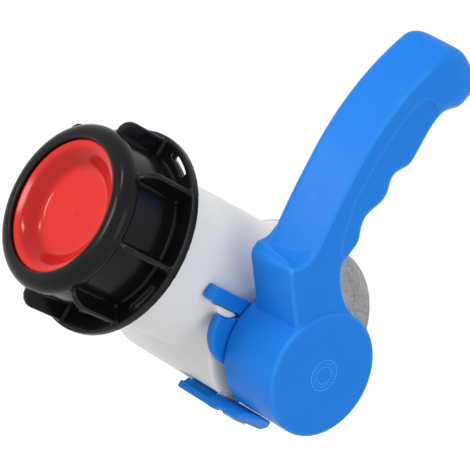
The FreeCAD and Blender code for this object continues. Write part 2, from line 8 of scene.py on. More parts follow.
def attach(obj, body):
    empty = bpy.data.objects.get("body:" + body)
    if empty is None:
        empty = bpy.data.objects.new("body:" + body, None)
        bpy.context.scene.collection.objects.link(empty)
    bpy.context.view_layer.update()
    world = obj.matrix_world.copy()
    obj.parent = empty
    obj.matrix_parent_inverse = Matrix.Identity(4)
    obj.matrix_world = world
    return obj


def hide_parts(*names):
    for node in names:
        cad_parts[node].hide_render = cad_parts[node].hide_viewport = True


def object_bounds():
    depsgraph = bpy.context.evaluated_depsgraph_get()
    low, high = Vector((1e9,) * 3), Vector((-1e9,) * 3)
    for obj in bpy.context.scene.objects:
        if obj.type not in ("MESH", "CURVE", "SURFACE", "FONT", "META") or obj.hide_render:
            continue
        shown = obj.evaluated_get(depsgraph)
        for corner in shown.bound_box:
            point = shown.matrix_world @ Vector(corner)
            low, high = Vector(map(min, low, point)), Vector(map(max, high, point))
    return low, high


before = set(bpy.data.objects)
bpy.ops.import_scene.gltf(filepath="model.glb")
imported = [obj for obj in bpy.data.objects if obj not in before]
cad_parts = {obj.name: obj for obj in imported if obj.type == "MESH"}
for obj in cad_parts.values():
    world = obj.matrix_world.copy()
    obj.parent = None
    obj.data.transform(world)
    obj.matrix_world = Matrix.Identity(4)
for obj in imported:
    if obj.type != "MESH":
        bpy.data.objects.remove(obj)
cad_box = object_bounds()

# Sizes in millimetres, on the axes of the CAD frame. A station is a distance from the
# inlet mouth along the flow, so y = -station. Offsets from the stem are (forward, up).
MM = 0.001
MERGE_DISTANCE = 0.005
STEM_STATION = 44.4
STEM_DROP = 11.66

HUB_RADIUS = 25.25
HUB_REAR = 35.2
HUB_FACE = 65.3
HUB_WALL = 2.8
HUB_EDGE = 1.3
HUB_BOSS_RADIUS = 10.8
HUB_BOSS_START = 36.2
HUB_RIB_COUNT = 8
HUB_RIB_START = 38.1
HUB_RIB_HALF_WIDTH = 1.0
STEM_SQUARE = 10.0
SOCKET_END = 58.3
MARK_RINGS = (("hub_mark", 6.4, 6.0, 96), ("ring", 3.7, 3.35, 72))
MARK_HEIGHT = 0.16
MARK_SINK = 0.1
MARK_TICKS = 24
TICK_START = 4.3
TICK_END = 5.4
TICK_HALF_WIDTH = 0.16
TICK_HEIGHT = 0.14

LEVER_INNER_SIDE = 41.9
LEVER_OUTER_SIDE = 63.9
LEVER_FRONT = 33.3
LEVER_SET_BACK = 1.3
LEVER_SET_BACK_HEIGHT = 66.0
LEVER_TILT = 5.8
LEVER_ROOT_DEPTH = 20.6
LEVER_GROWTH = 0.14
LEVER_ROOT_HEIGHT = 40.0
LEVER_WAIST_DEPTH = 17.9
LEVER_WAIST_HEIGHT = 41.0
WEB_TOP = (19.2, 44.8)
LEVER_BEND_HEIGHT = 73.0
LEVER_BEND_RADIUS = 112.0
LEVER_LENGTH = 139.7
RING_STEP = 1.3
INNER_FRONT_ROUNDING = 2.4
OUTER_FRONT_ROUNDING = 0.8
REAR_ROUNDING = 9.0
ROOT_ROUNDING = 2.5
REAR_OPENING = 25.0
GRIP_PITCH = 20.2
GRIP_FIRST = 49.7
GRIP_RIDGES = 3
GRIP_DEPTH = 1.5
POMMEL_WAIST = 118.0
POMMEL_WAIST_DEPTH = 23.9
POMMEL_RISE = 3.6
POMMEL_LENGTH = 13.0
TIP_ROUNDING = 12.0
TIP_FULLNESS = 2.3
SIDE_FULLNESS = 2.5
TIP_END_SHARE = 0.05
INNER_TIP_ROUNDING = 7.0
OUTER_TIP_ROUNDING = 4.0
OUTER_TIP_START = 1.95
OUTER_TIP_FULL = 0.65
TIP_REARWARD = 0.13
TIP_OUTWARD = 2.5
TIP_LIFT = 3.2
TIP_OUTER_LIFT = 0.45
GRIP_RECESS = 1.1
GRIP_RECESS_SETBACK = 7.0
GRIP_RECESS_REAR = 34.0
GRIP_RECESS_FOOT = ((43.0, 12.5), (47.0, 10.4), (52.0, 9.2), (58.0, 8.2))
GRIP_RECESS_HEAD = ((111.0, 7.7), (113.6, 9.2), (115.4, 12.0), (116.2, 16.0), (116.0, 20.0))
BLOCK_INNER_SIDE = 39.2
BLOCK_NOSE = (39.6, 29.6)
BLOCK_FOOT = (23.6, 11.6)
BLOCK_EDGE = 1.3
BLOCK_TOP = 13.0
BLOCK_OUTER_DROP = 3.2
BLOCK_OUTER_SETBACK = 1.6

BODY_MOUTH = 136.8
NECK_RADIUS = 30.15
BORE_RADIUS = 24.0
CHAMBER_RADIUS = 27.3
CHAMBER_START = 25.4
CHAMBER_END = 82.4
BORE_START = 87.4
BODY_CHAMFER = 0.8
MOUTH_CHAMFER = 1.2
SEAT_GAP = 1.8
SEAT_WIDTH = 2.4
SEAT_OPENING = 21.4
SEAT_EDGE = 10.4
SPIGOT_RADIUS = 34.6
SPIGOT_LENGTH = 33.4
SPIGOT_BORE = 30.5
SPIGOT_BORE_DEPTH = 18.4
HOUSING_RADIUS = 27.4
HOUSING_FAR_END = -37.5
HOUSING_NEAR_END = 30.2
TOWER_RADIUS = 12.0
TOWER_END = 34.4
STEM_HOLE = 7.05
FOOT_HOLE = 4.95
FOOT_HOLE_END = -34.25
THREAD_START = 110.8
THREAD_ROOT = 27.0
THREAD_CREST = 30.0
THREAD_PITCH = 6.0
THREAD_TURNS = 3.0
THREAD_FIRST = 116.1
THREAD_STEPS = 60
THREAD_RUN_OUT = 6.0
THREAD_ROOT_HALF = 1.3
THREAD_CREST_HALF = 0.7
NUT_THREAD_START = 60.0
NUT_THREAD_DEPTH = 3.0
FOIL_THICKNESS = 0.3
FOIL_SKIRT = 32.4
FOIL_STEP = 1.3
FOIL_STEPS = 24

PLATE_REAR = 30.4
PLATE_FRONT = 34.7
PLATE_END_RADIUS = 14.3
PLATE_END_OFFSET = 19.1
PLATE_EDGE = 1.4
GAP_START = 5.0
FINGER_SLANT = 40.0
FINGER_REACH = 41.8
FINGER_TOP = 11.4
FINGER_HEIGHT = 6.0
FINGER_GAP = 3.8

LATCH_HALF_WIDTH = 8.0
LATCH_START = 4.4
LATCH_PAD_END = 24.6
LATCH_PIVOT = 25.5
LATCH_PIVOT_Z = -40.56
LATCH_TIP = 48.9
LATCH_TOP = -37.51
LATCH_LOW = -43.76
LATCH_CEILING = -36.01
LATCH_PLAY = 0.9
LUG_RADIUS = 2.8
LUG_HALF_LENGTH = 4.4
PIN_RADIUS = 1.6
PIN_HALF_LENGTH = 6.8
KEEL_END = 37.4
KEEL_HALF_WIDTH = 3.6
SCOOP_SETBACK = 4.5

NUT_REAR = 112.0
NUT_FRONT = 143.4
NUT_BEZEL_RADIUS = 33.4
NUT_BEZEL_WIDTH = 7.0
NUT_WALL_RADIUS = 32.5
NUT_SHOULDER = 5.2
NUT_LIP_BORE = 26.5
NUT_LIP_WIDTH = 2.8
NUT_BORE = 30.45
FLANGE_RADIUS = 41.0
FLANGE_WIDTH = 3.2
RIB_COUNT = 8
RIB_PHASE = -4.0
RIB_RADIUS = 39.6
RIB_WIDTH = 2.2
RIB_NOSE = 5.8
SLOT_COUNT = 4
SLOT_INNER = 36.4
SLOT_OUTER = 38.5
SLOT_SWEEP = 19.0
INSERT_FLOOR = 8.4
INSERT_RIM = 1.8
O_RING_RADIUS = 6.25
O_RING_THICKNESS = 0.75
O_RING_STATIONS = (("inner", 27.6), ("outer", 31.4))

STEM_POINT = Vector((0.0, -STEM_STATION, -STEM_DROP))


# Modelling helpers

def deselect_all():
    active = bpy.context.view_layer.objects.active
    if active is not None and active.mode != "OBJECT":
        bpy.ops.object.mode_set(mode="OBJECT")
    bpy.ops.object.select_all(action="DESELECT")


def take(piece):
    """Select one piece alone and make it active."""
    deselect_all()
    piece.select_set(True)
    bpy.context.view_layer.objects.active = piece
    return piece


def named(name):
    piece = bpy.context.view_layer.objects.active
    piece.name = name
    piece.data.name = name
    bpy.ops.object.transform_apply(location=True, rotation=True, scale=True)
    return piece


def rod(name, radius, start, end, along, centre=(0.0, 0.0), sides=160):
    """A round bar along X through (y, z), or along the flow through (x, z)."""
    deselect_all()
    middle = (start + end) / 2
    if along == "X":
        place = (middle, centre[0], centre[1])
        turn = (0, math.pi / 2, 0)
    else:
        place = (centre[0], -middle, centre[1])
        turn = (math.pi / 2, 0, 0)
    bpy.ops.mesh.primitive_cylinder_add(
        vertices=sides, radius=radius * MM, depth=abs(end - start) * MM,
        location=[value * MM for value in place], rotation=turn)
    return named(name)


def stem_rod(name, radius, start, end, sides=160):
    return rod(name, radius, start, end, "X", (-STEM_STATION, -STEM_DROP), sides)


def bar(name, low, high):
    """A rectangular bar between two corners."""
    deselect_all()
    middle = [(a + b) / 2 * MM for a, b in zip(low, high)]
    bpy.ops.mesh.primitive_cube_add(size=1, location=middle)
    piece = bpy.context.view_layer.objects.active
    piece.scale = [abs(b - a) * MM for a, b in zip(low, high)]
    return named(name)


def stem_bar(name, start, end, half_width, low, high):
    """A bar along X, equally wide on both sides of the stem, between two heights."""
    return bar(name, (start, -STEM_STATION - half_width, low),
               (end, -STEM_STATION + half_width, high))


def latch_rod(name, radius, half_length, sides=64):
    """A round bar along the flow, on the latch's pivot."""
    return rod(name, radius, STEM_STATION - half_length, STEM_STATION + half_length, "FLOW",
               (LATCH_PIVOT, LATCH_PIVOT_Z), sides)


def drawn(name, points, fill="NGON"):
    """A circle whose corners are pulled to the given points."""
    deselect_all()
    bpy.ops.mesh.primitive_circle_add(vertices=len(points), radius=0.01, fill_type=fill)
    piece = bpy.context.view_layer.objects.active
    for vertex, place in zip(piece.data.vertices, points):
        vertex.co = Vector(place) * MM
    return named(name)


def face_out():
    """Turn all faces of the piece in edit mode outwards, and leave edit mode."""
    bpy.ops.mesh.select_all(action="SELECT")
    bpy.ops.mesh.normals_make_consistent(inside=False)
    bpy.ops.object.mode_set(mode="OBJECT")


def extruded(name, corners, offset):
    """A solid: an outline drawn at the given places and extruded by an offset."""
    piece = take(drawn(name, corners))
    bpy.ops.object.mode_set(mode="EDIT")
    bpy.ops.mesh.select_all(action="SELECT")
    bpy.ops.mesh.extrude_region_move(TRANSFORM_OT_translate={"value": Vector(offset) * MM})
    face_out()
    return piece


def plate(name, outline, start, end):
    """An outline of (forward, up) offsets from the stem, extruded along X."""
    corners = [STEM_POINT + Vector((start, -a, b)) for a, b in outline]
    return extruded(name, corners, (end - start, 0, 0))


def flow_plate(name, outline, half_width):
    """An outline of (x, z) places, extruded along the flow on both sides of the stem."""
    corners = [(x, -STEM_STATION - half_width, z) for x, z in outline]
    return extruded(name, corners, (0, 2 * half_width, 0))


def lathe(name, outline, steps=192):
    """An outline of (radius, station) pairs spun round the bore axis."""
    corners = [(radius, -station, 0.0) for radius, station in outline]
    piece = take(drawn(name, corners, "NOTHING"))
    bpy.ops.object.mode_set(mode="EDIT")
    bpy.ops.mesh.select_all(action="SELECT")
    bpy.ops.mesh.spin(steps=steps, angle=2 * math.pi, center=(0, 0, 0), axis=(0, 1, 0))
    bpy.ops.mesh.select_all(action="SELECT")
    bpy.ops.mesh.remove_doubles(threshold=MERGE_DISTANCE * MM)
    bpy.ops.mesh.delete_loose()
    face_out()
    return piece


def swept(name, rings):
    """An outline drawn once and extruded from ring to ring."""
    piece = take(drawn(name, rings[0]))
    bpy.ops.object.mode_set(mode="EDIT")
    bpy.ops.mesh.select_all(action="SELECT")
    step = Vector((0, 0, MM))
    for before, after in zip(rings, rings[1:]):
        bpy.ops.mesh.extrude_region_move(TRANSFORM_OT_translate={"value": step})
        mesh = bmesh.from_edit_mesh(piece.data)
        old = [Vector(place) * MM + step for place in before]
        for vertex in [vertex for vertex in mesh.verts if vertex.select]:
            gaps = [(place - vertex.co).length_squared for place in old]
            vertex.co = Vector(after[gaps.index(min(gaps))]) * MM
        bmesh.update_edit_mesh(piece.data)
    face_out()
    return piece


def applied(piece, kind, **settings):
    take(piece)
    modifier = piece.modifiers.new(kind.lower(), kind)
    for key, value in settings.items():
        setattr(modifier, key, value)
    bpy.ops.object.modifier_apply(modifier=modifier.name)
    return piece


def combined(piece, tools, operation):
    """Unite, cut or intersect a piece with others, which are used up."""
    for tool in tools:
        applied(piece, "BOOLEAN", object=tool, operation=operation, solver="EXACT")
        bpy.data.objects.remove(tool)
    return piece


def rounded(piece, width, segments=3, angle=30.0):
    return applied(piece, "BEVEL", width=width * MM, segments=segments, limit_method="ANGLE",
                   angle_limit=math.radians(angle), harden_normals=False)


def moulded(piece, grid, smoothing):
    """Remesh evenly and relax, so that inner and outer corners get a moulding's radii."""
    applied(piece, "REMESH", mode="VOXEL", voxel_size=grid * MM, adaptivity=0.0)
    applied(piece, "SMOOTH", factor=0.5, iterations=smoothing)
    return shaded(piece, 85.0)


def shaded(piece, angle=35.0):
    take(piece)
    bpy.ops.object.shade_smooth_by_angle(angle=math.radians(angle))
    return piece


def turned(piece, degrees, axis, centre=(0, 0, 0)):
    """Turn a piece's mesh about an axis through a point, right-handed."""
    place = Vector(centre) * MM
    turn = Matrix.Rotation(math.radians(degrees), 4, axis)
    piece.data.transform(Matrix.Translation(place) @ turn @ Matrix.Translation(-place))
    return piece


def moved(piece, offset):
    piece.data.transform(Matrix.Translation(Vector(offset) * MM))
    return piece


def keep(piece, body, slot, material, *nodes):
    """Give a finished piece its material and body, and hide the CAD nodes it stands for. The slot
    argument is not used.
    """
    piece.data.materials.clear()
    piece.data.materials.append(material)
    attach(piece, body)
    if nodes:
        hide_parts(*nodes)
    return piece


# Material groups and materials

def new_group(name, inputs, outputs):
    group = bpy.data.node_groups.new(name, "ShaderNodeTree")
    for title, kind, value in inputs:
        socket = group.interface.new_socket(title, in_out="INPUT", socket_type=kind)
        socket.default_value = value
    for title, kind in outputs:
        group.interface.new_socket(title, in_out="OUTPUT", socket_type=kind)
    source = group.nodes.new("NodeGroupInput")
    sink = group.nodes.new("NodeGroupOutput")
    return group, source, sink


def feed(tree, node, values):
    """Set each of a node's inputs to a plain value, or link it to another node's output."""
    for title, value in values.items():
        if isinstance(value, bpy.types.NodeSocket):
            tree.links.new(value, node.inputs[title])
        else:
            node.inputs[title].default_value = value
    return node


def added(tree, kind, values):
    return feed(tree, tree.nodes.new("ShaderNode" + kind), values)


def object_place(tree):
    return added(tree, "TexCoord", {}).outputs["Object"]


def noise_node(tree, scale, detail, place=None):
    place = place or object_place(tree)
    node = added(tree, "TexNoise", {"Scale": scale, "Detail": detail, "Vector": place})
    return node.outputs["Fac"]


def range_node(tree, value, low, high, to_low, to_high):
    node = added(tree, "MapRange", {"Value": value, "From Min": low, "From Max": high,
                                    "To Min": to_low, "To Max": to_high})
    return node.outputs["Result"]


def mix_colour(tree, factor, first, second):
    node = added(tree, "Mix", {0: factor, 6: first, 7: second})
    node.data_type = "RGBA"
    return node.outputs[2]


def math_node(tree, operation, first, second):
    node = added(tree, "Math", {0: first, 1: second})
    node.operation = operation
    return node.outputs[0]


def bump_node(tree, height, strength=1.0, distance=1.0):
    node = added(tree, "Bump", {"Height": height, "Strength": strength, "Distance": distance})
    return node.outputs["Normal"]


COLOUR = "NodeSocketColor"
NUMBER = "NodeSocketFloat"
VECTOR = "NodeSocketVector"


def make_tone_group():
    """Slow shifts of colour and gloss, as pigment and flow leave them in a moulding."""
    group, source, sink = new_group(
        "moulded_tone",
        [("Base Color", COLOUR, (0.5, 0.5, 0.5, 1)), ("Pale Color", COLOUR, (0.6, 0.6, 0.6, 1)),
         ("Patch Size", NUMBER, 40.0), ("Patch Strength", NUMBER, 0.3),
         ("Roughness", NUMBER, 0.4), ("Roughness Spread", NUMBER, 0.08)],
        [("Color", COLOUR), ("Roughness", NUMBER)])
    given = source.outputs
    clouds = noise_node(group, given["Patch Size"], 4.0)
    factor = math_node(group, "MULTIPLY", clouds, given["Patch Strength"])
    colour = mix_colour(group, factor, given["Base Color"], given["Pale Color"])
    fine = math_node(group, "SUBTRACT", noise_node(group, 260.0, 3.0), 0.5)
    spread = math_node(group, "MULTIPLY", fine, given["Roughness Spread"])
    rough = math_node(group, "ADD", given["Roughness"], spread)
    feed(group, sink, {"Color": colour, "Roughness": rough})
    return group


def make_skin_group():
    """The fine eroded texture and slight waviness of a moulded skin, as a normal."""
    group, source, sink = new_group(
        "moulded_skin",
        [("Grain Size", NUMBER, 1800.0), ("Grain Depth", NUMBER, 0.00002),
         ("Wave Size", NUMBER, 70.0), ("Wave Depth", NUMBER, 0.0002)],
        [("Normal", VECTOR)])
    given = source.outputs
    grain = noise_node(group, given["Grain Size"], 2.0)
    wave = noise_node(group, given["Wave Size"], 1.0)
    height = math_node(group, "ADD", math_node(group, "MULTIPLY", grain, given["Grain Depth"]),
                       math_node(group, "MULTIPLY", wave, given["Wave Depth"]))
    feed(group, sink, {"Normal": bump_node(group, height)})
    return group


def make_edge_highlight_group():
    """A painted highlight along sharp convex edges, and small scuffs from handling, both in one
    paler colour.
    """
    group, source, sink = new_group(
        "edge_highlight_and_scuffs",
        [("Color", COLOUR, (0.5, 0.5, 0.5, 1)), ("Highlight And Scuff Color", COLOUR, (0.7, 0.7, 0.7, 1)),
         ("Edge Highlight Strength", NUMBER, 0.4), ("Scuff Strength", NUMBER, 0.15)],
        [("Color", COLOUR)])
    given = source.outputs
    # Pointiness picks out sharp convex edges for the painted edge highlight.
    sharpness = added(group, "NewGeometry", {}).outputs["Pointiness"]
    edge_highlight = range_node(group, sharpness, 0.505, 0.56, 0.0, 1.0)
    edge_highlight = math_node(group, "MULTIPLY", edge_highlight, given["Edge Highlight Strength"])
    stretched = added(group, "Mapping", {
        "Rotation": (0.4, 0.2, 0.9), "Scale": (40.0, 420.0, 160.0), "Vector": object_place(group)})
    marks = noise_node(group, 1.0, 3.0, stretched.outputs["Vector"])
    scuff = range_node(group, marks, 0.66, 0.8, 0.0, 1.0)
    scuff = math_node(group, "MULTIPLY", scuff, given["Scuff Strength"])
    factor = math_node(group, "MAXIMUM", edge_highlight, scuff)
    colour = mix_colour(group, factor, given["Color"], given["Highlight And Scuff Color"])
    feed(group, sink, {"Color": colour})
    return group


TONE = make_tone_group()
SKIN = make_skin_group()
EDGE_HIGHLIGHT_AND_SCUFFS = make_edge_highlight_group()


def placed_group(tree, group, values):
    node = added(tree, "Group", {})
    node.node_tree = group
    return feed(tree, node, values)


def new_material(name):
    material = bpy.data.materials.new(name)
    material.use_nodes = True
    tree = material.node_tree
    return material, tree, tree.nodes["Principled BSDF"]


TONE_VALUES = ("Patch Size", "Patch Strength", "Roughness", "Roughness Spread")
SKIN_VALUES = ("Grain Size", "Grain Depth", "Wave Size", "Wave Depth")
EDGE_HIGHLIGHT_VALUES = ("Highlight And Scuff Color", "Edge Highlight Strength", "Scuff Strength")


def moulded_material(name, colour, pale, tone, skin, highlight_and_scuffs, shader_values=None):
    """A moulding's material: two colours, then the values of its tone, skin and
    edge-highlight-and-scuff groups.
    """
    material, tree, shader = new_material(name)
    material.diffuse_color = colour + (1,)
    colours = {"Base Color": colour + (1,), "Pale Color": pale + (1,)}
    toned = placed_group(tree, TONE, {**colours, **dict(zip(TONE_VALUES, tone))}).outputs
    highlight_scuff_colour, *marks = highlight_and_scuffs
    highlighted = placed_group(tree, EDGE_HIGHLIGHT_AND_SCUFFS, {
        "Color": toned["Color"], **dict(zip(EDGE_HIGHLIGHT_VALUES, (highlight_scuff_colour + (1,), *marks)))}).outputs
    textured = placed_group(tree, SKIN, dict(zip(SKIN_VALUES, skin))).outputs
    feed(tree, shader, {
        "Base Color": highlighted["Color"], "Roughness": toned["Roughness"],
        "Normal": textured["Normal"], **(shader_values or {})})
    return material


# The last tuple of each material: the colour of the painted edge highlight and of the scuffs, the
# highlight's strength, the scuff strength.
blue_handle = moulded_material(
    "blue_handle", (0.004, 0.175, 0.66), (0.008, 0.21, 0.74),
    (30.0, 0.9, 0.40, 0.12), (1500.0, 0.00003, 60.0, 0.0002),
    ((0.05, 0.36, 0.90), 0.6, 0.15), {"Specular IOR Level": 0.16})
blue_mark = moulded_material(
    "blue_mark", (0.03, 0.30, 0.84), (0.05, 0.36, 0.90),
    (300.0, 0.8, 0.5, 0.1), (1500.0, 0.00002, 60.0, 0.0001),
    ((0.1, 0.42, 0.92), 0.3, 0.2), {"Specular IOR Level": 0.16})
blue_plate = moulded_material(
    "blue_plate", (0.006, 0.185, 0.68), (0.012, 0.23, 0.76),
    (60.0, 0.8, 0.42, 0.1), (1800.0, 0.00003, 80.0, 0.0002),
    ((0.05, 0.36, 0.9), 0.5, 0.15), {"Specular IOR Level": 0.16})
blue_latch = moulded_material(
    "blue_latch", (0.004, 0.19, 0.72), (0.010, 0.24, 0.80),
    (80.0, 0.8, 0.40, 0.1), (1800.0, 0.00003, 90.0, 0.0002),
    ((0.05, 0.36, 0.9), 0.6, 0.2), {"Specular IOR Level": 0.1})
black_cap = moulded_material(
    "black_cap", (0.0028, 0.0029, 0.0034), (0.007, 0.0072, 0.008),
    (35.0, 0.6, 0.2, 0.12), (1300.0, 0.00003, 55.0, 0.0003),
    ((0.03, 0.03, 0.033), 0.6, 0.2), {"Specular IOR Level": 0.14})
red_insert = moulded_material(
    "red_insert", (0.62, 0.011, 0.007), (0.69, 0.026, 0.015),
    (30.0, 0.7, 0.16, 0.06), (1500.0, 0.00001, 60.0, 0.00015),
    ((0.75, 0.06, 0.04), 0.0, 0.1), {"Specular IOR Level": 0.25})
white_body = moulded_material(
    "white_body", (0.81, 0.79, 0.755), (0.90, 0.885, 0.86),
    (30.0, 0.7, 0.34, 0.1), (1200.0, 0.00003, 45.0, 0.0004),
    ((0.93, 0.93, 0.92), 0.3, 0.1),
    {"Subsurface Weight": 0.35, "Subsurface Radius": (1.0, 1.0, 1.0), "Subsurface Scale": 0.003,
     "Specular IOR Level": 0.3})
flap_plastic = moulded_material(
    "flap_plastic", (0.62, 0.63, 0.62), (0.7, 0.7, 0.69),
    (50.0, 0.6, 0.45, 0.1), (1500.0, 0.00003, 60.0, 0.0003),
    ((0.75, 0.75, 0.74), 0.2, 0.1))
stem_plastic = moulded_material(
    "stem_plastic", (0.26, 0.265, 0.27), (0.34, 0.34, 0.35),
    (90.0, 0.6, 0.38, 0.1), (1700.0, 0.00002, 90.0, 0.0002),
    ((0.5, 0.5, 0.5), 0.3, 0.2))
washer_plastic = moulded_material(
    "washer_plastic", (0.72, 0.72, 0.69), (0.8, 0.8, 0.77),
    (120.0, 0.6, 0.5, 0.1), (1700.0, 0.00002, 90.0, 0.0001),
    ((0.8, 0.8, 0.78), 0.2, 0.2))
seal_rubber = moulded_material(
    "seal_rubber", (0.012, 0.012, 0.012), (0.022, 0.022, 0.022),
    (150.0, 0.6, 0.68, 0.12), (2200.0, 0.00004, 120.0, 0.0001),
    ((0.04, 0.04, 0.04), 0.3, 0.2))
gasket_rubber = moulded_material(
    "gasket_rubber", (0.60, 0.585, 0.52), (0.68, 0.66, 0.6),
    (90.0, 0.6, 0.62, 0.12), (1900.0, 0.00003, 90.0, 0.0001),
    ((0.7, 0.68, 0.6), 0.2, 0.2))


# Radii, strength and red of the painted shade mixed into the red insert's dish wall.
WALL_STARTS = (0.0168, 0.0190)
WALL_ENDS = (0.0228, 0.0245)
WALL_SHADE_STRENGTH = 0.75
WALL_SHADE_RED = (0.36, 0.003, 0.003, 1)


def paint_wall_shade():
    """Painted shade: a band of radii over the dish's sloping wall is mixed towards a deeper red
    than the floor's.
    """
    tree = red_insert.node_tree
    shader = tree.nodes["Principled BSDF"]
    apart = added(tree, "SeparateXYZ", {"Vector": object_place(tree)})
    squares = [math_node(tree, "POWER", apart.outputs[axis], 2.0) for axis in ("X", "Z")]
    radius = math_node(tree, "POWER", math_node(tree, "ADD", *squares), 0.5)
    inner = range_node(tree, radius, *WALL_STARTS, 0.0, WALL_SHADE_STRENGTH)
    outer = range_node(tree, radius, *WALL_ENDS, 1.0, 0.0)
    plain = shader.inputs["Base Color"].links[0].from_socket
    # Mix the painted wall shade into the insert's colour.
    wall_shaded = mix_colour(tree, math_node(tree, "MULTIPLY", inner, outer), plain, WALL_SHADE_RED)
    feed(tree, shader, {"Base Color": wall_shaded})


paint_wall_shade()


STEEL_DARKENING = 0.7
STEEL_SPREAD = 0.08
STEEL_LINE_DEPTH = 0.00002


def steel_material(name, colour, roughness, stretch):
    """Steel with fine lines along one direction."""
    material, tree, shader = new_material(name)
    mapping = added(tree, "Mapping", {"Scale": stretch, "Vector": object_place(tree)})
    lines = noise_node(tree, 1.0, 3.0, mapping.outputs["Vector"])
    dark = tuple(value * STEEL_DARKENING for value in colour) + (1,)
    rough = range_node(tree, lines, 0.3, 0.7, roughness - STEEL_SPREAD, roughness + STEEL_SPREAD)
    feed(tree, shader, {
        "Base Color": mix_colour(tree, lines, dark, colour + (1,)), "Roughness": rough,
        "Normal": bump_node(tree, lines, distance=STEEL_LINE_DEPTH), "Metallic": 1.0})
    return material


pin_steel = steel_material("pin_steel", (0.55, 0.55, 0.54), 0.28, (900.0, 40.0, 900.0))
leaf_steel = steel_material("leaf_steel", (0.42, 0.43, 0.44), 0.34, (40.0, 900.0, 900.0))


CREASE_DEPTH = 0.0006
SPECK_DEPTH = 0.00008


def make_foil():
    """Dull grey foil: cloudy tone, creases and a faint rolled grain."""
    material, tree, shader = new_material("foil")
    clouds = noise_node(tree, 90.0, 6.0)
    specks = noise_node(tree, 700.0, 3.0)
    tone = mix_colour(tree, range_node(tree, clouds, 0.35, 0.65, 0.0, 1.0),
                      (0.24, 0.24, 0.235, 1), (0.40, 0.40, 0.395, 1))
    tone = mix_colour(tree, range_node(tree, specks, 0.4, 0.62, 0.0, 0.45),
                      tone, (0.46, 0.46, 0.45, 1))
    rough = range_node(tree, clouds, 0.3, 0.7, 0.68, 0.84)
    creases = added(tree, "TexVoronoi", {"Scale": 110.0, "Vector": object_place(tree)})
    creases.feature = "DISTANCE_TO_EDGE"
    swell = math_node(tree, "MULTIPLY", clouds, CREASE_DEPTH)
    folds = math_node(tree, "MULTIPLY", creases.outputs["Distance"], CREASE_DEPTH)
    height = math_node(tree, "ADD", math_node(tree, "ADD", swell, folds),
                       math_node(tree, "MULTIPLY", specks, SPECK_DEPTH))
    feed(tree, shader, {
        "Base Color": tone, "Roughness": rough, "Normal": bump_node(tree, height, 0.6),
        "Metallic": 0.1, "Specular IOR Level": 0.05})
    return material


foil = make_foil()


# Handle: lever, block, web and hub, drawn apart and fused as one moulding

def smooth(share):
    share = min(1.0, max(0.0, share))
    return share * share * (3 - 2 * share)


def lever_front(length):
    """The lever's front line as (forward, up, lean)."""
    if length <= LEVER_BEND_HEIGHT:
        share = max(0.0, LEVER_SET_BACK_HEIGHT - length)
        share /= LEVER_SET_BACK_HEIGHT - LEVER_ROOT_HEIGHT
        return LEVER_FRONT - LEVER_SET_BACK * share * share, length, 0.0
    lean = (length - LEVER_BEND_HEIGHT) / LEVER_BEND_RADIUS
    return (LEVER_FRONT - LEVER_BEND_RADIUS * (1 - math.cos(lean)),
            LEVER_BEND_HEIGHT + LEVER_BEND_RADIUS * math.sin(lean), lean)


def lever_depth(length):
    """Three finger ridges, one long hollow, then the swell of the pommel."""
    last_ridge = GRIP_FIRST + (GRIP_RIDGES - 1) * GRIP_PITCH
    held = min(max(length, GRIP_FIRST), last_ridge)
    depth = LEVER_ROOT_DEPTH + LEVER_GROWTH * (held - LEVER_ROOT_HEIGHT)
    depth -= GRIP_DEPTH * (1 - math.cos(2 * math.pi * (held - GRIP_FIRST) / GRIP_PITCH))
    if length < GRIP_FIRST:
        share = max(0.0, (length - LEVER_WAIST_HEIGHT) / (GRIP_FIRST - LEVER_WAIST_HEIGHT))
        return LEVER_WAIST_DEPTH + (depth - LEVER_WAIST_DEPTH) * share
    if length > last_ridge:
        share = smooth((length - last_ridge) / (POMMEL_WAIST - last_ridge))
        depth += (POMMEL_WAIST_DEPTH - depth) * share
        depth += POMMEL_RISE * smooth((length - POMMEL_WAIST) / POMMEL_LENGTH)
    return depth


def rounded_ring(corners, radii, count=5):
    """A closed outline whose corners are turned into arcs of the given radii."""
    places = []
    for index, corner in enumerate(corners):
        before = (corners[index - 1] - corner).normalized()
        after = (corners[(index + 1) % len(corners)] - corner).normalized()
        half = before.angle(after) / 2
        centre = corner + (before + after).normalized() * (radii[index] / math.sin(half))
        first = corner + before * (radii[index] / math.tan(half)) - centre
        last = corner + after * (radii[index] / math.tan(half)) - centre
        sweep = first.angle(last)
        for step in range(count + 1):
            share = step / count
            places.append(centre + (first * math.sin((1 - share) * sweep)
                                    + last * math.sin(share * sweep)) / math.sin(sweep))
    return places


def tip_share(remaining, fullness):
    """How much of the lever's section is left near its tip."""
    profile = max(0.0, 1 - (1 - remaining) ** fullness) ** (1 / fullness)
    return TIP_END_SHARE + (1 - TIP_END_SHARE) * profile


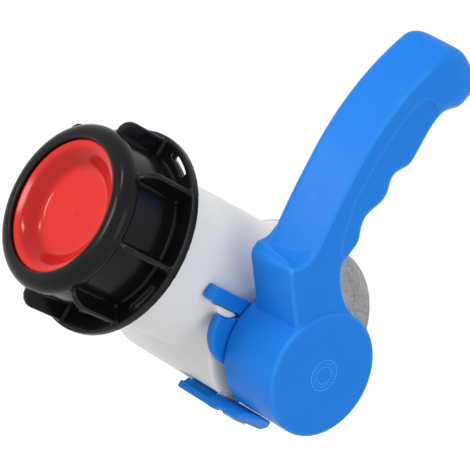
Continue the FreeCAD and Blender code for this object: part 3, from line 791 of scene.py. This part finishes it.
def lever_ring(length):
    """The lever's outline at a length, smaller and lifted towards the tip."""
    forward, up, lean = lever_front(length)
    depth = lever_depth(length)
    front = STEM_POINT + Vector((0.0, -forward, up))
    rearward = Vector((0.0, math.cos(lean), -math.sin(lean)))
    corners = [
        front + Vector((LEVER_INNER_SIDE, 0, 0)) - rearward * LEVER_TILT,
        front + Vector((LEVER_OUTER_SIDE, 0, 0)),
        front + Vector((LEVER_OUTER_SIDE, 0, 0)) + rearward * depth,
        front + Vector((LEVER_INNER_SIDE, 0, 0)) + rearward * depth,
    ]
    scale = 1.0
    remaining = (LEVER_LENGTH - length) / TIP_ROUNDING
    if remaining < 1.0:
        narrow = tip_share(remaining, SIDE_FULLNESS)
        scale = tip_share(remaining, TIP_FULLNESS)
        middle = sum(corners, Vector()) / 4
        shift = rearward * depth * TIP_REARWARD + Vector((TIP_OUTWARD, 0, 0))
        centre = middle + shift * (1 - scale)
        across = Vector((narrow, scale, scale))
        corners = [centre + (corner - middle) * across for corner in corners]
        lift = Vector((0, math.sin(lean), math.cos(lean))) * TIP_LIFT * smooth(1 - remaining)
        for index, share in ((1, TIP_OUTER_LIFT), (2, 1 + TIP_OUTER_LIFT), (3, 1)):
            corners[index] = corners[index] + lift * share
        scale = min(scale, narrow)
    opened = min(1.0, max(0.0, (length - BLOCK_NOSE[1]) / REAR_OPENING))
    near_tip = smooth((OUTER_TIP_START - remaining) / (OUTER_TIP_START - OUTER_TIP_FULL))
    inner = scale * (INNER_FRONT_ROUNDING + INNER_TIP_ROUNDING * (1 - scale))
    outer = scale * (OUTER_FRONT_ROUNDING + OUTER_TIP_ROUNDING * near_tip)
    rear = scale * (ROOT_ROUNDING + (REAR_ROUNDING - ROOT_ROUNDING) * opened)
    return rounded_ring(corners, (inner, outer, rear, rear))


def make_lever_blank():
    start = GRIP_FIRST - GRIP_PITCH
    end = LEVER_LENGTH - TIP_ROUNDING
    count = int((end - start) / RING_STEP)
    lengths = [start + (end - start) * step / count for step in range(count)]
    for angle in range(0, 91, 5):
        lengths.append(LEVER_LENGTH - TIP_ROUNDING * math.cos(math.radians(angle)))
    return swept("lever_blank", [lever_ring(length) for length in lengths])


def arc_points(start, middle, end, count):
    """Points on the circle through three (forward, up) points."""
    (ax, ay), (bx, by), (cx, cy) = start, middle, end
    turn = 2 * (ax * (by - cy) + bx * (cy - ay) + cx * (ay - by))
    a, b, c = ax**2 + ay**2, bx**2 + by**2, cx**2 + cy**2
    ux = (a * (by - cy) + b * (cy - ay) + c * (ay - by)) / turn
    uy = (a * (cx - bx) + b * (ax - cx) + c * (bx - ax)) / turn
    radius = math.hypot(ax - ux, ay - uy)
    first = math.atan2(ay - uy, ax - ux)
    last = math.atan2(cy - uy, cx - ux)
    mid = math.atan2(by - uy, bx - ux)
    sweep = (last - first) % (2 * math.pi)
    if (mid - first) % (2 * math.pi) > sweep:
        sweep -= 2 * math.pi
    angles = [first + sweep * step / count for step in range(count + 1)]
    return [(ux + radius * math.cos(angle), uy + radius * math.sin(angle)) for angle in angles]


def make_block():
    """The wedge at the lever's root; its ramp drops towards the outer side."""
    nose, high = BLOCK_NOSE
    top = high + BLOCK_TOP
    ramp = arc_points((nose - 0.6, high + 4.4), (LEVER_FRONT + 2.1, high + 8.0),
                      (LEVER_FRONT + 1.2, top), 10)
    outline = [(0, 0), BLOCK_FOOT, (nose - 1.0, high - 2.0), (nose, high), *ramp,
               (LEVER_FRONT - 10.3, top)]
    block = plate("block", outline, BLOCK_INNER_SIDE, LEVER_OUTER_SIDE)
    middle = (BLOCK_INNER_SIDE + LEVER_OUTER_SIDE) / 2 * MM
    for vertex in block.data.vertices:
        up = vertex.co.z / MM + STEM_DROP - high
        if up > 1.0 and vertex.co.x > middle:
            vertex.co.z -= min(up, BLOCK_OUTER_DROP) * MM
            vertex.co.y += BLOCK_OUTER_SETBACK * MM
    return rounded(block, BLOCK_EDGE, 3, 40.0)


def make_grip_recess():
    """A thin cutter for the shallow step up the outer side and round below the pommel."""
    def at(length, behind):
        forward, up, lean = lever_front(length)
        return (forward - behind * math.cos(lean), up - behind * math.sin(lean))

    line = [*GRIP_RECESS_FOOT, *[(length, GRIP_RECESS_SETBACK) for length in range(62, 109, 3)],
            *GRIP_RECESS_HEAD, (115.0, GRIP_RECESS_REAR), (43.0, GRIP_RECESS_REAR)]
    outline = [at(length, behind) for length, behind in line]
    return plate("grip_recess", outline, LEVER_OUTER_SIDE - GRIP_RECESS, LEVER_OUTER_SIDE + 2)


def make_handle():
    """The whole handle: lever, wedge block and web on a ribbed, hollow hub."""
    lever = make_lever_blank()
    sweep = arc_points(WEB_TOP, (11.8, 32.7), (-0.4, HUB_RADIUS + 0.2), 14)
    web = plate("web", [*sweep, (0, 0), (26.6, WEB_TOP[1])],
                LEVER_INNER_SIDE + 1.5, LEVER_OUTER_SIDE)
    rounded(web, 1.0, 3, 40.0)
    grip = combined(lever, [make_block(), web], "UNION")
    core = stem_rod("core", HUB_RADIUS - HUB_WALL / 2, HUB_REAR - 5, HUB_FACE + 5)
    grip = combined(grip, [core], "DIFFERENCE")
    hub = stem_rod("hub", HUB_RADIUS, HUB_REAR, HUB_FACE, 224)
    rounded(hub, HUB_EDGE, 4, 60.0)
    hollow = stem_rod("hollow", HUB_RADIUS - HUB_WALL, HUB_REAR - 3, HUB_FACE - HUB_WALL, 192)
    hub = combined(hub, [hollow], "DIFFERENCE")
    in_wall = HUB_WALL / 2
    boss = stem_rod("boss", HUB_BOSS_RADIUS, HUB_BOSS_START, HUB_FACE - in_wall)
    ribs = []
    for index in range(HUB_RIB_COUNT):
        rib = stem_bar("rib", HUB_RIB_START, HUB_FACE - in_wall, HUB_RIB_HALF_WIDTH,
                       -STEM_DROP, -STEM_DROP + HUB_RADIUS - in_wall)
        ribs.append(turned(rib, index * 360.0 / HUB_RIB_COUNT, "X", STEM_POINT))
    hub = combined(hub, [grip, boss] + ribs, "UNION")
    half = STEM_SQUARE / 2
    socket = stem_bar("socket", HUB_REAR - 3, SOCKET_END, half, -STEM_DROP - half,
                      -STEM_DROP + half)
    hub = combined(hub, [socket], "DIFFERENCE")
    combined(hub, [make_grip_recess()], "DIFFERENCE")
    hub.name = "handle_moulding"
    return moulded(hub, 0.62, 3)


def make_hub_mark():
    """A small round mark on the hub face: two raised rings with ticks between."""
    start = HUB_FACE - MARK_SINK
    pieces = []
    for name, outer, inner, sides in MARK_RINGS:
        ring = stem_rod(name, outer, start, HUB_FACE + MARK_HEIGHT, sides)
        opening = stem_rod("inside", inner, HUB_FACE - 1, HUB_FACE + 1, sides)
        pieces.append(combined(ring, [opening], "DIFFERENCE"))
    for index in range(MARK_TICKS):
        tick = stem_bar("tick", start, HUB_FACE + TICK_HEIGHT, TICK_HALF_WIDTH,
                        -STEM_DROP + TICK_START, -STEM_DROP + TICK_END)
        pieces.append(turned(tick, index * 360.0 / MARK_TICKS, "X", STEM_POINT))
    mark = take(pieces[0])
    for piece in pieces[1:]:
        piece.select_set(True)
    bpy.ops.object.join()
    return shaded(rounded(mark, 0.05, 1, 60.0))


keep(make_handle(), "rotor", "blue_handle", blue_handle, "handle")
keep(make_hub_mark(), "rotor", "blue_handle", blue_mark)


# Cap nut

def make_ridge(first_station, first_angle, root, crest):
    """A right-handed thread ridge: its outline goes round and along the bore axis."""
    half_root, half_crest = THREAD_ROOT_HALF, THREAD_CREST_HALF
    rings = []
    steps = int(THREAD_TURNS * THREAD_STEPS)
    for step in range(steps + 1):
        turn = first_angle + 360.0 * THREAD_TURNS * step / steps
        station = first_station + THREAD_PITCH * turn / 360.0
        share = smooth(min(step, steps - step) / THREAD_RUN_OUT)
        top = root + (crest - root) * (0.2 + 0.8 * share)
        angle = math.radians(turn)
        section = ((root, -half_root), (top, -half_crest), (top, half_crest), (root, half_root))
        rings.append([
            (radius * math.cos(angle), -(station + offset), radius * math.sin(angle))
            for radius, offset in section
        ])
    return swept("ridge", rings)


def arc_round(centre, radius, first, last, count):
    """Points of an arc round a centre, between two angles in degrees."""
    points = []
    for step in range(count + 1):
        angle = math.radians(first + (last - first) * step / count)
        points.append((centre[0] + radius * math.cos(angle),
                       centre[1] + radius * math.sin(angle)))
    return points


def make_cap_nut():
    """The nut: bezel, ribbed wall, slotted flange, and its thread inside."""
    lip = NUT_FRONT - NUT_LIP_WIDTH
    bezel = NUT_FRONT - NUT_BEZEL_WIDTH
    flange = NUT_REAR + FLANGE_WIDTH
    shoulder = (NUT_BEZEL_RADIUS - NUT_SHOULDER, NUT_FRONT - NUT_SHOULDER)
    nut = lathe("cap_nut_moulding", [
        (NUT_BORE, NUT_REAR), (FLANGE_RADIUS, NUT_REAR), (FLANGE_RADIUS, flange),
        (NUT_WALL_RADIUS, flange), (NUT_WALL_RADIUS, bezel), (NUT_BEZEL_RADIUS, bezel),
        *arc_round(shoulder, NUT_SHOULDER, 0, 90, 10),
        (NUT_LIP_BORE, NUT_FRONT), (NUT_LIP_BORE, lip), (NUT_BORE, lip),
    ])
    ribs = []
    slots = []
    pitch = 360.0 / RIB_COUNT
    end = bezel + 0.8
    start = NUT_REAR + FLANGE_WIDTH / 2
    nose = [(RIB_RADIUS, end - RIB_NOSE), (RIB_RADIUS - 0.3, end - RIB_NOSE * 0.72),
            (RIB_RADIUS - 1.6, end - RIB_NOSE * 0.36), (RIB_RADIUS - 3.6, end - RIB_NOSE * 0.12),
            (NUT_WALL_RADIUS - 0.1, end)]
    outline = [(NUT_WALL_RADIUS - 1, start), (RIB_RADIUS, start), *nose, (NUT_WALL_RADIUS - 1, end)]
    for index in range(RIB_COUNT):
        angle = RIB_PHASE + index * pitch
        corners = [Vector((radius, -station, -RIB_WIDTH / 2)) for radius, station in outline]
        rib = extruded("rib", corners, (0, 0, RIB_WIDTH))
        ribs.append(turned(rib, -angle, "Y"))
    for index in range(SLOT_COUNT):
        angle = RIB_PHASE - pitch / 2 + index * 360.0 / SLOT_COUNT
        arc = arc_round((0, 0), SLOT_OUTER, -SLOT_SWEEP / 2, SLOT_SWEEP / 2, 10)
        arc += arc_round((0, 0), SLOT_INNER, SLOT_SWEEP / 2, -SLOT_SWEEP / 2, 10)
        corners = [(x, -NUT_REAR + 1, -z) for x, z in arc]
        slot = extruded("slot", corners, (0, -(FLANGE_WIDTH + 2), 0))
        slots.append(turned(slot, -angle, "Y"))
    combined(nut, ribs, "UNION")
    bore = rod("bore", NUT_BORE, NUT_REAR - 1, lip, "FLOW", sides=192)
    combined(nut, slots + [bore], "DIFFERENCE")
    ridge = make_ridge(THREAD_FIRST - THREAD_PITCH / 2, NUT_THREAD_START,
                       NUT_BORE + 0.5, NUT_BORE - NUT_THREAD_DEPTH)
    combined(nut, [ridge], "UNION")
    return moulded(nut, 0.55, 2)


keep(make_cap_nut(), "cap_nut", "black_cap", black_cap, "cap_nut")


# Body with its outlet thread

def make_half_seat(side):
    """Half a ring in the bore, above (1) or below (-1) the stem, that the flap shuts against."""
    near = STEM_STATION - side * SEAT_GAP
    start, end = sorted((near, near - side * SEAT_WIDTH))
    ring = rod("half_seat", CHAMBER_RADIUS + 0.6, start, end, "FLOW", sides=128)
    opening = rod("opening", SEAT_OPENING, start - 1, end + 1, "FLOW", sides=128)
    combined(ring, [opening], "DIFFERENCE")
    low, high = sorted((-STEM_DROP + side * SEAT_EDGE, side * 40))
    return combined(ring, [bar("half", (-40, -end - 1, low), (40, -start + 1, high))], "INTERSECT")


def lens_outline(gap):
    """The round-bottomed opening between the finger and the plate."""
    top = FINGER_TOP - FINGER_HEIGHT - gap
    low = FINGER_TOP - FINGER_HEIGHT - FINGER_GAP + gap
    near = PLATE_END_OFFSET + GAP_START + gap * 2
    far = FINGER_REACH - 4.0 - gap * 2
    return arc_points((near, top), ((near + far) / 2, low), (far, top), 24)


def make_lug():
    """The bored lug under the housing that holds the latch's pin."""
    lug = latch_rod("lug", LUG_RADIUS, LUG_HALF_LENGTH)
    web = stem_bar("lug_web", LATCH_PIVOT - LUG_RADIUS, LATCH_PIVOT + LUG_RADIUS,
                   LUG_HALF_LENGTH, LATCH_PIVOT_Z, LATCH_CEILING + 1.0)
    combined(lug, [web], "UNION")
    return combined(lug, [latch_rod("lug_hole", PIN_RADIUS + 0.05, 9, 48)], "DIFFERENCE")


def make_body():
    """The body: spigot, cross housing, neck, thread and the chamber inside."""
    mouth = FOIL_THICKNESS
    chamfer = BODY_CHAMFER
    body = lathe("valve_body_moulding", [
        (0, mouth), (SPIGOT_RADIUS, mouth), (SPIGOT_RADIUS, SPIGOT_LENGTH),
        (NECK_RADIUS, SPIGOT_LENGTH), (NECK_RADIUS, THREAD_START - chamfer),
        (NECK_RADIUS - chamfer, THREAD_START), (THREAD_ROOT, THREAD_START),
        (THREAD_ROOT, BODY_MOUTH - chamfer), (THREAD_ROOT - chamfer, BODY_MOUTH), (0, BODY_MOUTH),
    ])
    housing = stem_rod("housing", HOUSING_RADIUS, HOUSING_FAR_END, HOUSING_NEAR_END, 192)
    rounded(housing, chamfer, 3, 60.0)
    tower = stem_rod("tower", TOWER_RADIUS, 0, TOWER_END, 96)
    catch = plate("catch", lens_outline(0.25), BORE_RADIUS + 2.0, PLATE_FRONT - 0.1)
    combined(body, [housing, tower], "UNION")
    recess = stem_bar("recess", LATCH_START - LATCH_PLAY, HOUSING_NEAR_END + 1,
                      LATCH_HALF_WIDTH + LATCH_PLAY, -STEM_DROP - HOUSING_RADIUS - 1, LATCH_CEILING)
    combined(body, [recess], "DIFFERENCE")
    ridge = make_ridge(THREAD_FIRST, 0.0, THREAD_ROOT - 0.5, THREAD_CREST)
    combined(body, [make_lug(), catch, ridge], "UNION")
    flare = SPIGOT_BORE + MOUTH_CHAMFER
    inside = lathe("inside", [
        (0, mouth - 1), (flare, mouth - 1), (flare, mouth), (SPIGOT_BORE, mouth + MOUTH_CHAMFER),
        (SPIGOT_BORE, SPIGOT_BORE_DEPTH), (CHAMBER_RADIUS, CHAMBER_START),
        (CHAMBER_RADIUS, CHAMBER_END), (BORE_RADIUS, BORE_START),
        (BORE_RADIUS, BODY_MOUTH + 1), (0, BODY_MOUTH + 1),
    ], 160)
    combined(body, [inside], "DIFFERENCE")
    combined(body, [make_half_seat(1), make_half_seat(-1)], "UNION")
    stem_hole = stem_rod("stem_hole", STEM_HOLE, 0, TOWER_END + 1, 96)
    foot_hole = stem_rod("foot_hole", FOOT_HOLE, FOOT_HOLE_END, 1, 96)
    combined(body, [stem_hole, foot_hole], "DIFFERENCE")
    return moulded(body, 0.9, 3)


keep(make_body(), "valve", "white_body", white_body, "valve_body")


# Lock plate between the housing and the hub

def make_lock_plate():
    """The round-ended plate with its finger, the gap below it and the tower's hole."""
    front = arc_round((PLATE_END_OFFSET, 0), PLATE_END_RADIUS, -90, 90, 40)
    rear = arc_round((-PLATE_END_OFFSET, 0), PLATE_END_RADIUS, 90, 270, 40)
    lock_plate = plate("lock_plate_moulding", front + rear, PLATE_REAR, PLATE_FRONT)
    rounded(lock_plate, PLATE_EDGE, 5, 60.0)
    low = FINGER_TOP - FINGER_HEIGHT
    gap_middle = low - FINGER_GAP / 2
    above = PLATE_END_RADIUS + 2
    front_cut = plate("front_cut", [
        (PLATE_END_OFFSET + GAP_START, gap_middle), (FINGER_REACH, gap_middle),
        (FINGER_REACH, above), (PLATE_END_OFFSET - 2.0, above),
        (PLATE_END_OFFSET - 2.0, FINGER_TOP),
    ], PLATE_REAR - 1, PLATE_FRONT + 1)
    rear_cut = bar("rear_cut", (20, -SPIGOT_LENGTH - 0.2, -50), (50, 10, 50))
    combined(lock_plate, [front_cut, rear_cut], "DIFFERENCE")
    finger = plate("finger", [
        (PLATE_END_OFFSET - 3.0, FINGER_TOP), (FINGER_REACH - 0.5, FINGER_TOP),
        (FINGER_REACH + 0.3, FINGER_TOP - 0.9), (FINGER_REACH + 0.8, low + 1.3),
        (FINGER_REACH + 0.2, low + 0.3), (FINGER_REACH - 0.5, low), (PLATE_END_OFFSET - 3.0, low),
    ], PLATE_REAR, PLATE_FRONT - 0.4)
    slant = turned(bar("slant", (-4, -9, -9), (4, 9, 9)), -FINGER_SLANT, "Z")
    moved(slant, (PLATE_FRONT + 3.6, -STEM_STATION - FINGER_REACH, -4))
    combined(finger, [slant], "DIFFERENCE")
    combined(lock_plate, [finger], "UNION")
    lens = plate("lens", lens_outline(0.0), PLATE_REAR - 1, PLATE_FRONT + 1)
    hole = stem_rod("hole", TOWER_RADIUS + 0.05, PLATE_REAR - 1, PLATE_FRONT + 1, 128)
    combined(lock_plate, [lens, hole], "DIFFERENCE")
    return moulded(lock_plate, 0.35, 4)


keep(make_lock_plate(), "valve", "blue_plate", blue_plate, "lock_plate")


# Safety latch

def mirrored(side):
    """One side's outline of (forward, up) offsets, closed with its mirror image."""
    return side + [(-a, b) for a, b in reversed(side)]


def make_tongue():
    """The latch's tongue: scooped below, round in plan, arched across at its start."""
    belly = (LATCH_TIP - LATCH_HALF_WIDTH, LATCH_LOW + 1.0)
    scoop = (KEEL_END - SCOOP_SETBACK, LATCH_LOW + 1.7)
    between = ((belly[0] + scoop[0]) / 2, LATCH_LOW + 1.3)
    tip = (LATCH_TIP, LATCH_TOP - 0.7)
    tongue = flow_plate("safety_latch_moulding", [
        (LATCH_PAD_END, LATCH_LOW), (LATCH_PAD_END, LATCH_TOP - 1.6),
        (LATCH_PAD_END + 0.5, LATCH_TOP - 0.5), (LATCH_PAD_END + 1.6, LATCH_TOP),
        (LATCH_TIP, LATCH_TOP), *arc_points(tip, (LATCH_TIP - 4.2, LATCH_TOP - 3.2), belly, 10),
        *arc_points(belly, between, scoop, 6)[1:],
        *arc_points(scoop, (scoop[0] - 2.4, LATCH_LOW + 1.2), (scoop[0] - 4.4, LATCH_LOW), 6)[1:],
    ], LATCH_HALF_WIDTH)
    plan = rod("plan", LATCH_HALF_WIDTH, STEM_STATION - 6, STEM_STATION + 6, "FLOW", sides=96)
    turned(plan, 90, "X", (0, -STEM_STATION, 0))
    moved(plan, (belly[0], 0, -40.0))
    shaft = stem_bar("shaft", LATCH_PAD_END - 1, belly[0], LATCH_HALF_WIDTH,
                     LATCH_LOW - 2, LATCH_TOP + 2)
    combined(plan, [shaft], "UNION")
    combined(tongue, [plan], "INTERSECT")
    top = LATCH_TOP + STEM_DROP
    low = LATCH_LOW + STEM_DROP - 1
    side = [(LATCH_HALF_WIDTH, low), *arc_points(
        (LATCH_HALF_WIDTH, top - 3.6), (LATCH_HALF_WIDTH - 1.3, top - 1.1), (3.6, top), 10)]
    arch = plate("arch", mirrored(side), LATCH_PAD_END - 2, LATCH_TIP + 2)
    return combined(tongue, [arch], "INTERSECT")


def make_latch():
    """The rocker latch: ridged pad, tongue and keel, slotted for its lug."""
    latch = make_tongue()
    steps = [(7.1, 0), (7.5, 0.4), (7.5, 2.4), (7.1, 3.0), (6.4, 3.1), (5.9, 2.9), (4.9, 4.1),
             (4.5, 4.9), (3.6, 5.1), (3.0, 4.7), (1.7, 5.3), (1.2, 6.1), (0.5, 6.3)]
    side = [(forward, LATCH_LOW + STEM_DROP + up) for forward, up in steps]
    pad = plate("pad", mirrored(side), LATCH_START, LATCH_PAD_END + 1.0)
    floor = LATCH_LOW + 0.5
    keel = stem_bar("keel", LATCH_PAD_END + 1.0, KEEL_END, KEEL_HALF_WIDTH, floor, LATCH_LOW + 3.0)
    combined(latch, [pad, keel], "UNION")
    bed = stem_bar("bed", 29.5, KEEL_END + 1, KEEL_HALF_WIDTH, LATCH_LOW - 1, floor)
    reach = LUG_RADIUS + 0.8
    slot = stem_bar("slot", LATCH_PIVOT - reach, LATCH_PIVOT + reach, LUG_HALF_LENGTH + 0.4,
                    LATCH_LOW - 1, LATCH_TOP + 1)
    hole = latch_rod("hole", PIN_RADIUS, PIN_HALF_LENGTH)
    combined(latch, [bed, slot, hole], "DIFFERENCE")
    return moulded(latch, 0.28, 5)


keep(make_latch(), "latch", "blue_latch", blue_latch, "safety_latch")


# Red insert, O-rings and foil

def make_insert():
    """The red insert: gate mark, dished floor, curved wall, rim and hidden flange."""
    floor = NUT_FRONT - INSERT_FLOOR
    rim = NUT_FRONT - INSERT_RIM
    flange = NUT_FRONT - NUT_LIP_WIDTH
    dish = ((0, 0.3), (1.7, 0.3), (2.0, 0.2), (2.2, 0), (8.0, 0), (15.2, 0), (16.4, 0.12),
            (17.3, 0.5), (18.2, 1.15), (19.2, 2.1), (20.6, 3.5), (22.0, 4.8), (23.1, 5.6),
            (24.0, 6.0), (24.7, 6.25), (25.2, 6.5))
    insert = lathe("cap_insert_moulding", [
        *[(radius, floor + rise) for radius, rise in dish],
        (25.6, rim), (26.0, rim), (26.3, rim - 0.3), (26.35, rim - 0.6), (26.35, flange),
        (29.5, flange), (29.7, flange - 0.2), (29.7, flange - 1.8), (29.5, flange - 2.0),
        (22.45, flange - 2.0), (18.5, floor - 1.6), (17.8, floor - 1.8), (0, floor - 1.8),
    ], 224)
    return shaded(insert, 28.0)


keep(make_insert(), "cap_seal", "red_insert", red_insert, "cap_insert")


def make_o_ring(name, station):
    deselect_all()
    bpy.ops.mesh.primitive_torus_add(
        major_segments=96, minor_segments=20,
        major_radius=O_RING_RADIUS * MM, minor_radius=O_RING_THICKNESS * MM,
        location=(STEM_POINT + Vector((station, 0, 0))) * MM, rotation=(0, math.pi / 2, 0))
    return shaded(named(name))


for ring_name, ring_station in O_RING_STATIONS:
    o_ring = make_o_ring("o_ring_" + ring_name, ring_station)
    keep(o_ring, "rotor", "seal_rubber", seal_rubber, "stem_o_ring_" + ring_name)


def make_foil_cap():
    """The foil over the inlet: a flat face, a soft corner and a skirt cut out at the housing."""
    inner = SPIGOT_RADIUS + 0.05
    outer = inner + FOIL_THICKNESS
    skin = lathe("foil_cap", [
        (0, 0), (outer - 0.25, 0), (outer - 0.07, 0.07), (outer, 0.25),
        *[(outer, 1.0 + FOIL_STEP * step) for step in range(FOIL_STEPS)], (outer, FOIL_SKIRT),
        (inner, FOIL_SKIRT), *[(inner, 30.9 - FOIL_STEP * step) for step in range(FOIL_STEPS)],
        (inner, FOIL_THICKNESS), (0, FOIL_THICKNESS),
    ], 224)
    relief = stem_rod("relief", HOUSING_RADIUS + 0.3, HOUSING_FAR_END - 1, HUB_FACE, 160)
    combined(skin, [relief], "DIFFERENCE")
    return shaded(skin, 30.0)


keep(make_foil_cap(), "valve", "foil", foil, "foil_seal", "foil_sleeve")


# CAD nodes that stay as they are

FINISHES = {
    white_body: ["valve_body"], foil: ["foil_seal", "foil_sleeve"], flap_plastic: ["flap_disc"],
    seal_rubber: ["flap_seal_upper", "flap_seal_lower", "stem_o_ring_inner", "stem_o_ring_outer"],
    stem_plastic: ["valve_stem"], washer_plastic: ["stem_washer"], blue_plate: ["lock_plate"],
    blue_handle: ["handle"], blue_latch: ["safety_latch"], pin_steel: ["latch_pin"],
    leaf_steel: ["latch_leaf"], black_cap: ["cap_nut"], red_insert: ["cap_insert"],
    gasket_rubber: ["cap_gasket"],
}
for finish, node_names in FINISHES.items():
    for node_name in node_names:
        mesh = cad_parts[node_name].data
        mesh.materials.clear()
        mesh.materials.append(finish)


# Floor, light and camera

# Here lengths are in metres.
FLOOR_SIZE = 30.0
FLOOR_DROP = 0.03
FLOOR_COLOUR = (0.85, 0.85, 0.85, 1)
FLOOR_WHITE = 0.5
FLOOR_GLOW = 1.5
WORLD_LIGHT = 0.8
LIGHT_CENTRE = Vector((0.01, -0.07, 0.01))
LAMPS = (
    ("key", (0.6, 0.7, 0.6), (0.1, 0.22), 1.5),
    ("left", (0.55, 0.85, 0.06), (0.35, 0.25), 3.2),
    ("fill", (0.8, -0.7, 0.2), (0.6, 0.6), 2.2),
)
CAMERA_AZIMUTH = 0.821941
CAMERA_ELEVATION = -0.0056894
CAMERA_ROLL = 0.481417
CAMERA_DISTANCE = 0.800974
CAMERA_RIGHT_SHIFT = 0.00056777
CAMERA_UP_SHIFT = 0.02236003
FOCAL_LENGTH_PIXELS = 1994.126
PICTURE_PIXELS = 470
SENSOR_WIDTH = 36.0


def seen_ray(tree):
    """1 on rays that show the background, straight or in a gloss, and 0 on those that light."""
    ray = added(tree, "LightPath", {}).outputs
    seen = math_node(tree, "MAXIMUM", ray["Is Camera Ray"], ray["Is Transmission Ray"])
    return math_node(tree, "MAXIMUM", seen, ray["Is Glossy Ray"])


def make_stage():
    deselect_all()
    floor_height = cad_box[0][2] - FLOOR_DROP
    bpy.ops.mesh.primitive_plane_add(size=FLOOR_SIZE, location=(0, 0, floor_height))
    floor = named("studio_floor")
    material, tree, _ = new_material("studio_floor")
    tree.nodes.clear()
    diffuse = added(tree, "BsdfDiffuse", {"Color": FLOOR_COLOUR}).outputs["BSDF"]
    white = added(tree, "Emission", {"Strength": FLOOR_GLOW}).outputs["Emission"]
    share = math_node(tree, "MULTIPLY", seen_ray(tree), FLOOR_WHITE)
    mixed = added(tree, "MixShader", {"Fac": share, 1: diffuse, 2: white})
    added(tree, "OutputMaterial", {"Surface": mixed.outputs["Shader"]})
    floor.data.materials.append(material)

    world = bpy.data.worlds.new("studio")
    bpy.context.scene.world = world
    world.use_nodes = True
    tree = world.node_tree
    strength = range_node(tree, seen_ray(tree), 0.0, 1.0, WORLD_LIGHT, 1.0)
    feed(tree, tree.nodes["Background"], {"Color": (1, 1, 1, 1), "Strength": strength})


def add_softbox(name, place, size, power):
    """A rectangular lamp that faces the middle of the object."""
    light = bpy.data.lights.new(name, "AREA")
    light.shape = "RECTANGLE"
    light.size, light.size_y = size
    light.energy = power
    lamp = bpy.data.objects.new(name, light)
    bpy.context.scene.collection.objects.link(lamp)
    lamp.location = place
    lamp.rotation_euler = (LIGHT_CENTRE - place).to_track_quat("-Z", "Y").to_euler()


def make_camera():
    """The camera, turned and rolled as the photograph's; gives the direction back to it."""
    level = math.cos(CAMERA_ELEVATION)
    back = Vector((math.sin(CAMERA_AZIMUTH) * level, -math.cos(CAMERA_AZIMUTH) * level,
                   math.sin(CAMERA_ELEVATION)))
    right = Vector((math.cos(CAMERA_AZIMUTH), math.sin(CAMERA_AZIMUTH), 0))
    up = back.cross(right)
    camera_right = right * math.cos(CAMERA_ROLL) + up * math.sin(CAMERA_ROLL)
    camera_up = up * math.cos(CAMERA_ROLL) - right * math.sin(CAMERA_ROLL)
    place = back * CAMERA_DISTANCE + camera_right * CAMERA_RIGHT_SHIFT
    place += camera_up * CAMERA_UP_SHIFT + Vector((0, -STEM_STATION * MM, 0))
    data = bpy.data.cameras.new("camera")
    data.sensor_width = SENSOR_WIDTH
    data.lens = SENSOR_WIDTH * FOCAL_LENGTH_PIXELS / PICTURE_PIXELS
    camera = bpy.data.objects.new("camera", data)
    bpy.context.scene.collection.objects.link(camera)
    turn = Matrix((camera_right, camera_up, back)).transposed().to_4x4()
    camera.matrix_world = Matrix.Translation(place) @ turn
    bpy.context.scene.camera = camera
    return back


make_stage()
camera_back = make_camera()
lamp_up = Vector((0, 0, 1))
lamp_left = lamp_up.cross(-camera_back)
for lamp_name, (back_share, left_share, up_share), lamp_size, lamp_power in LAMPS:
    lamp_place = (LIGHT_CENTRE + camera_back * back_share + lamp_left * left_share
                  + lamp_up * up_share)
    add_softbox(lamp_name, lamp_place, lamp_size, lamp_power)
bpy.context.scene.view_settings.view_transform = "Standard"
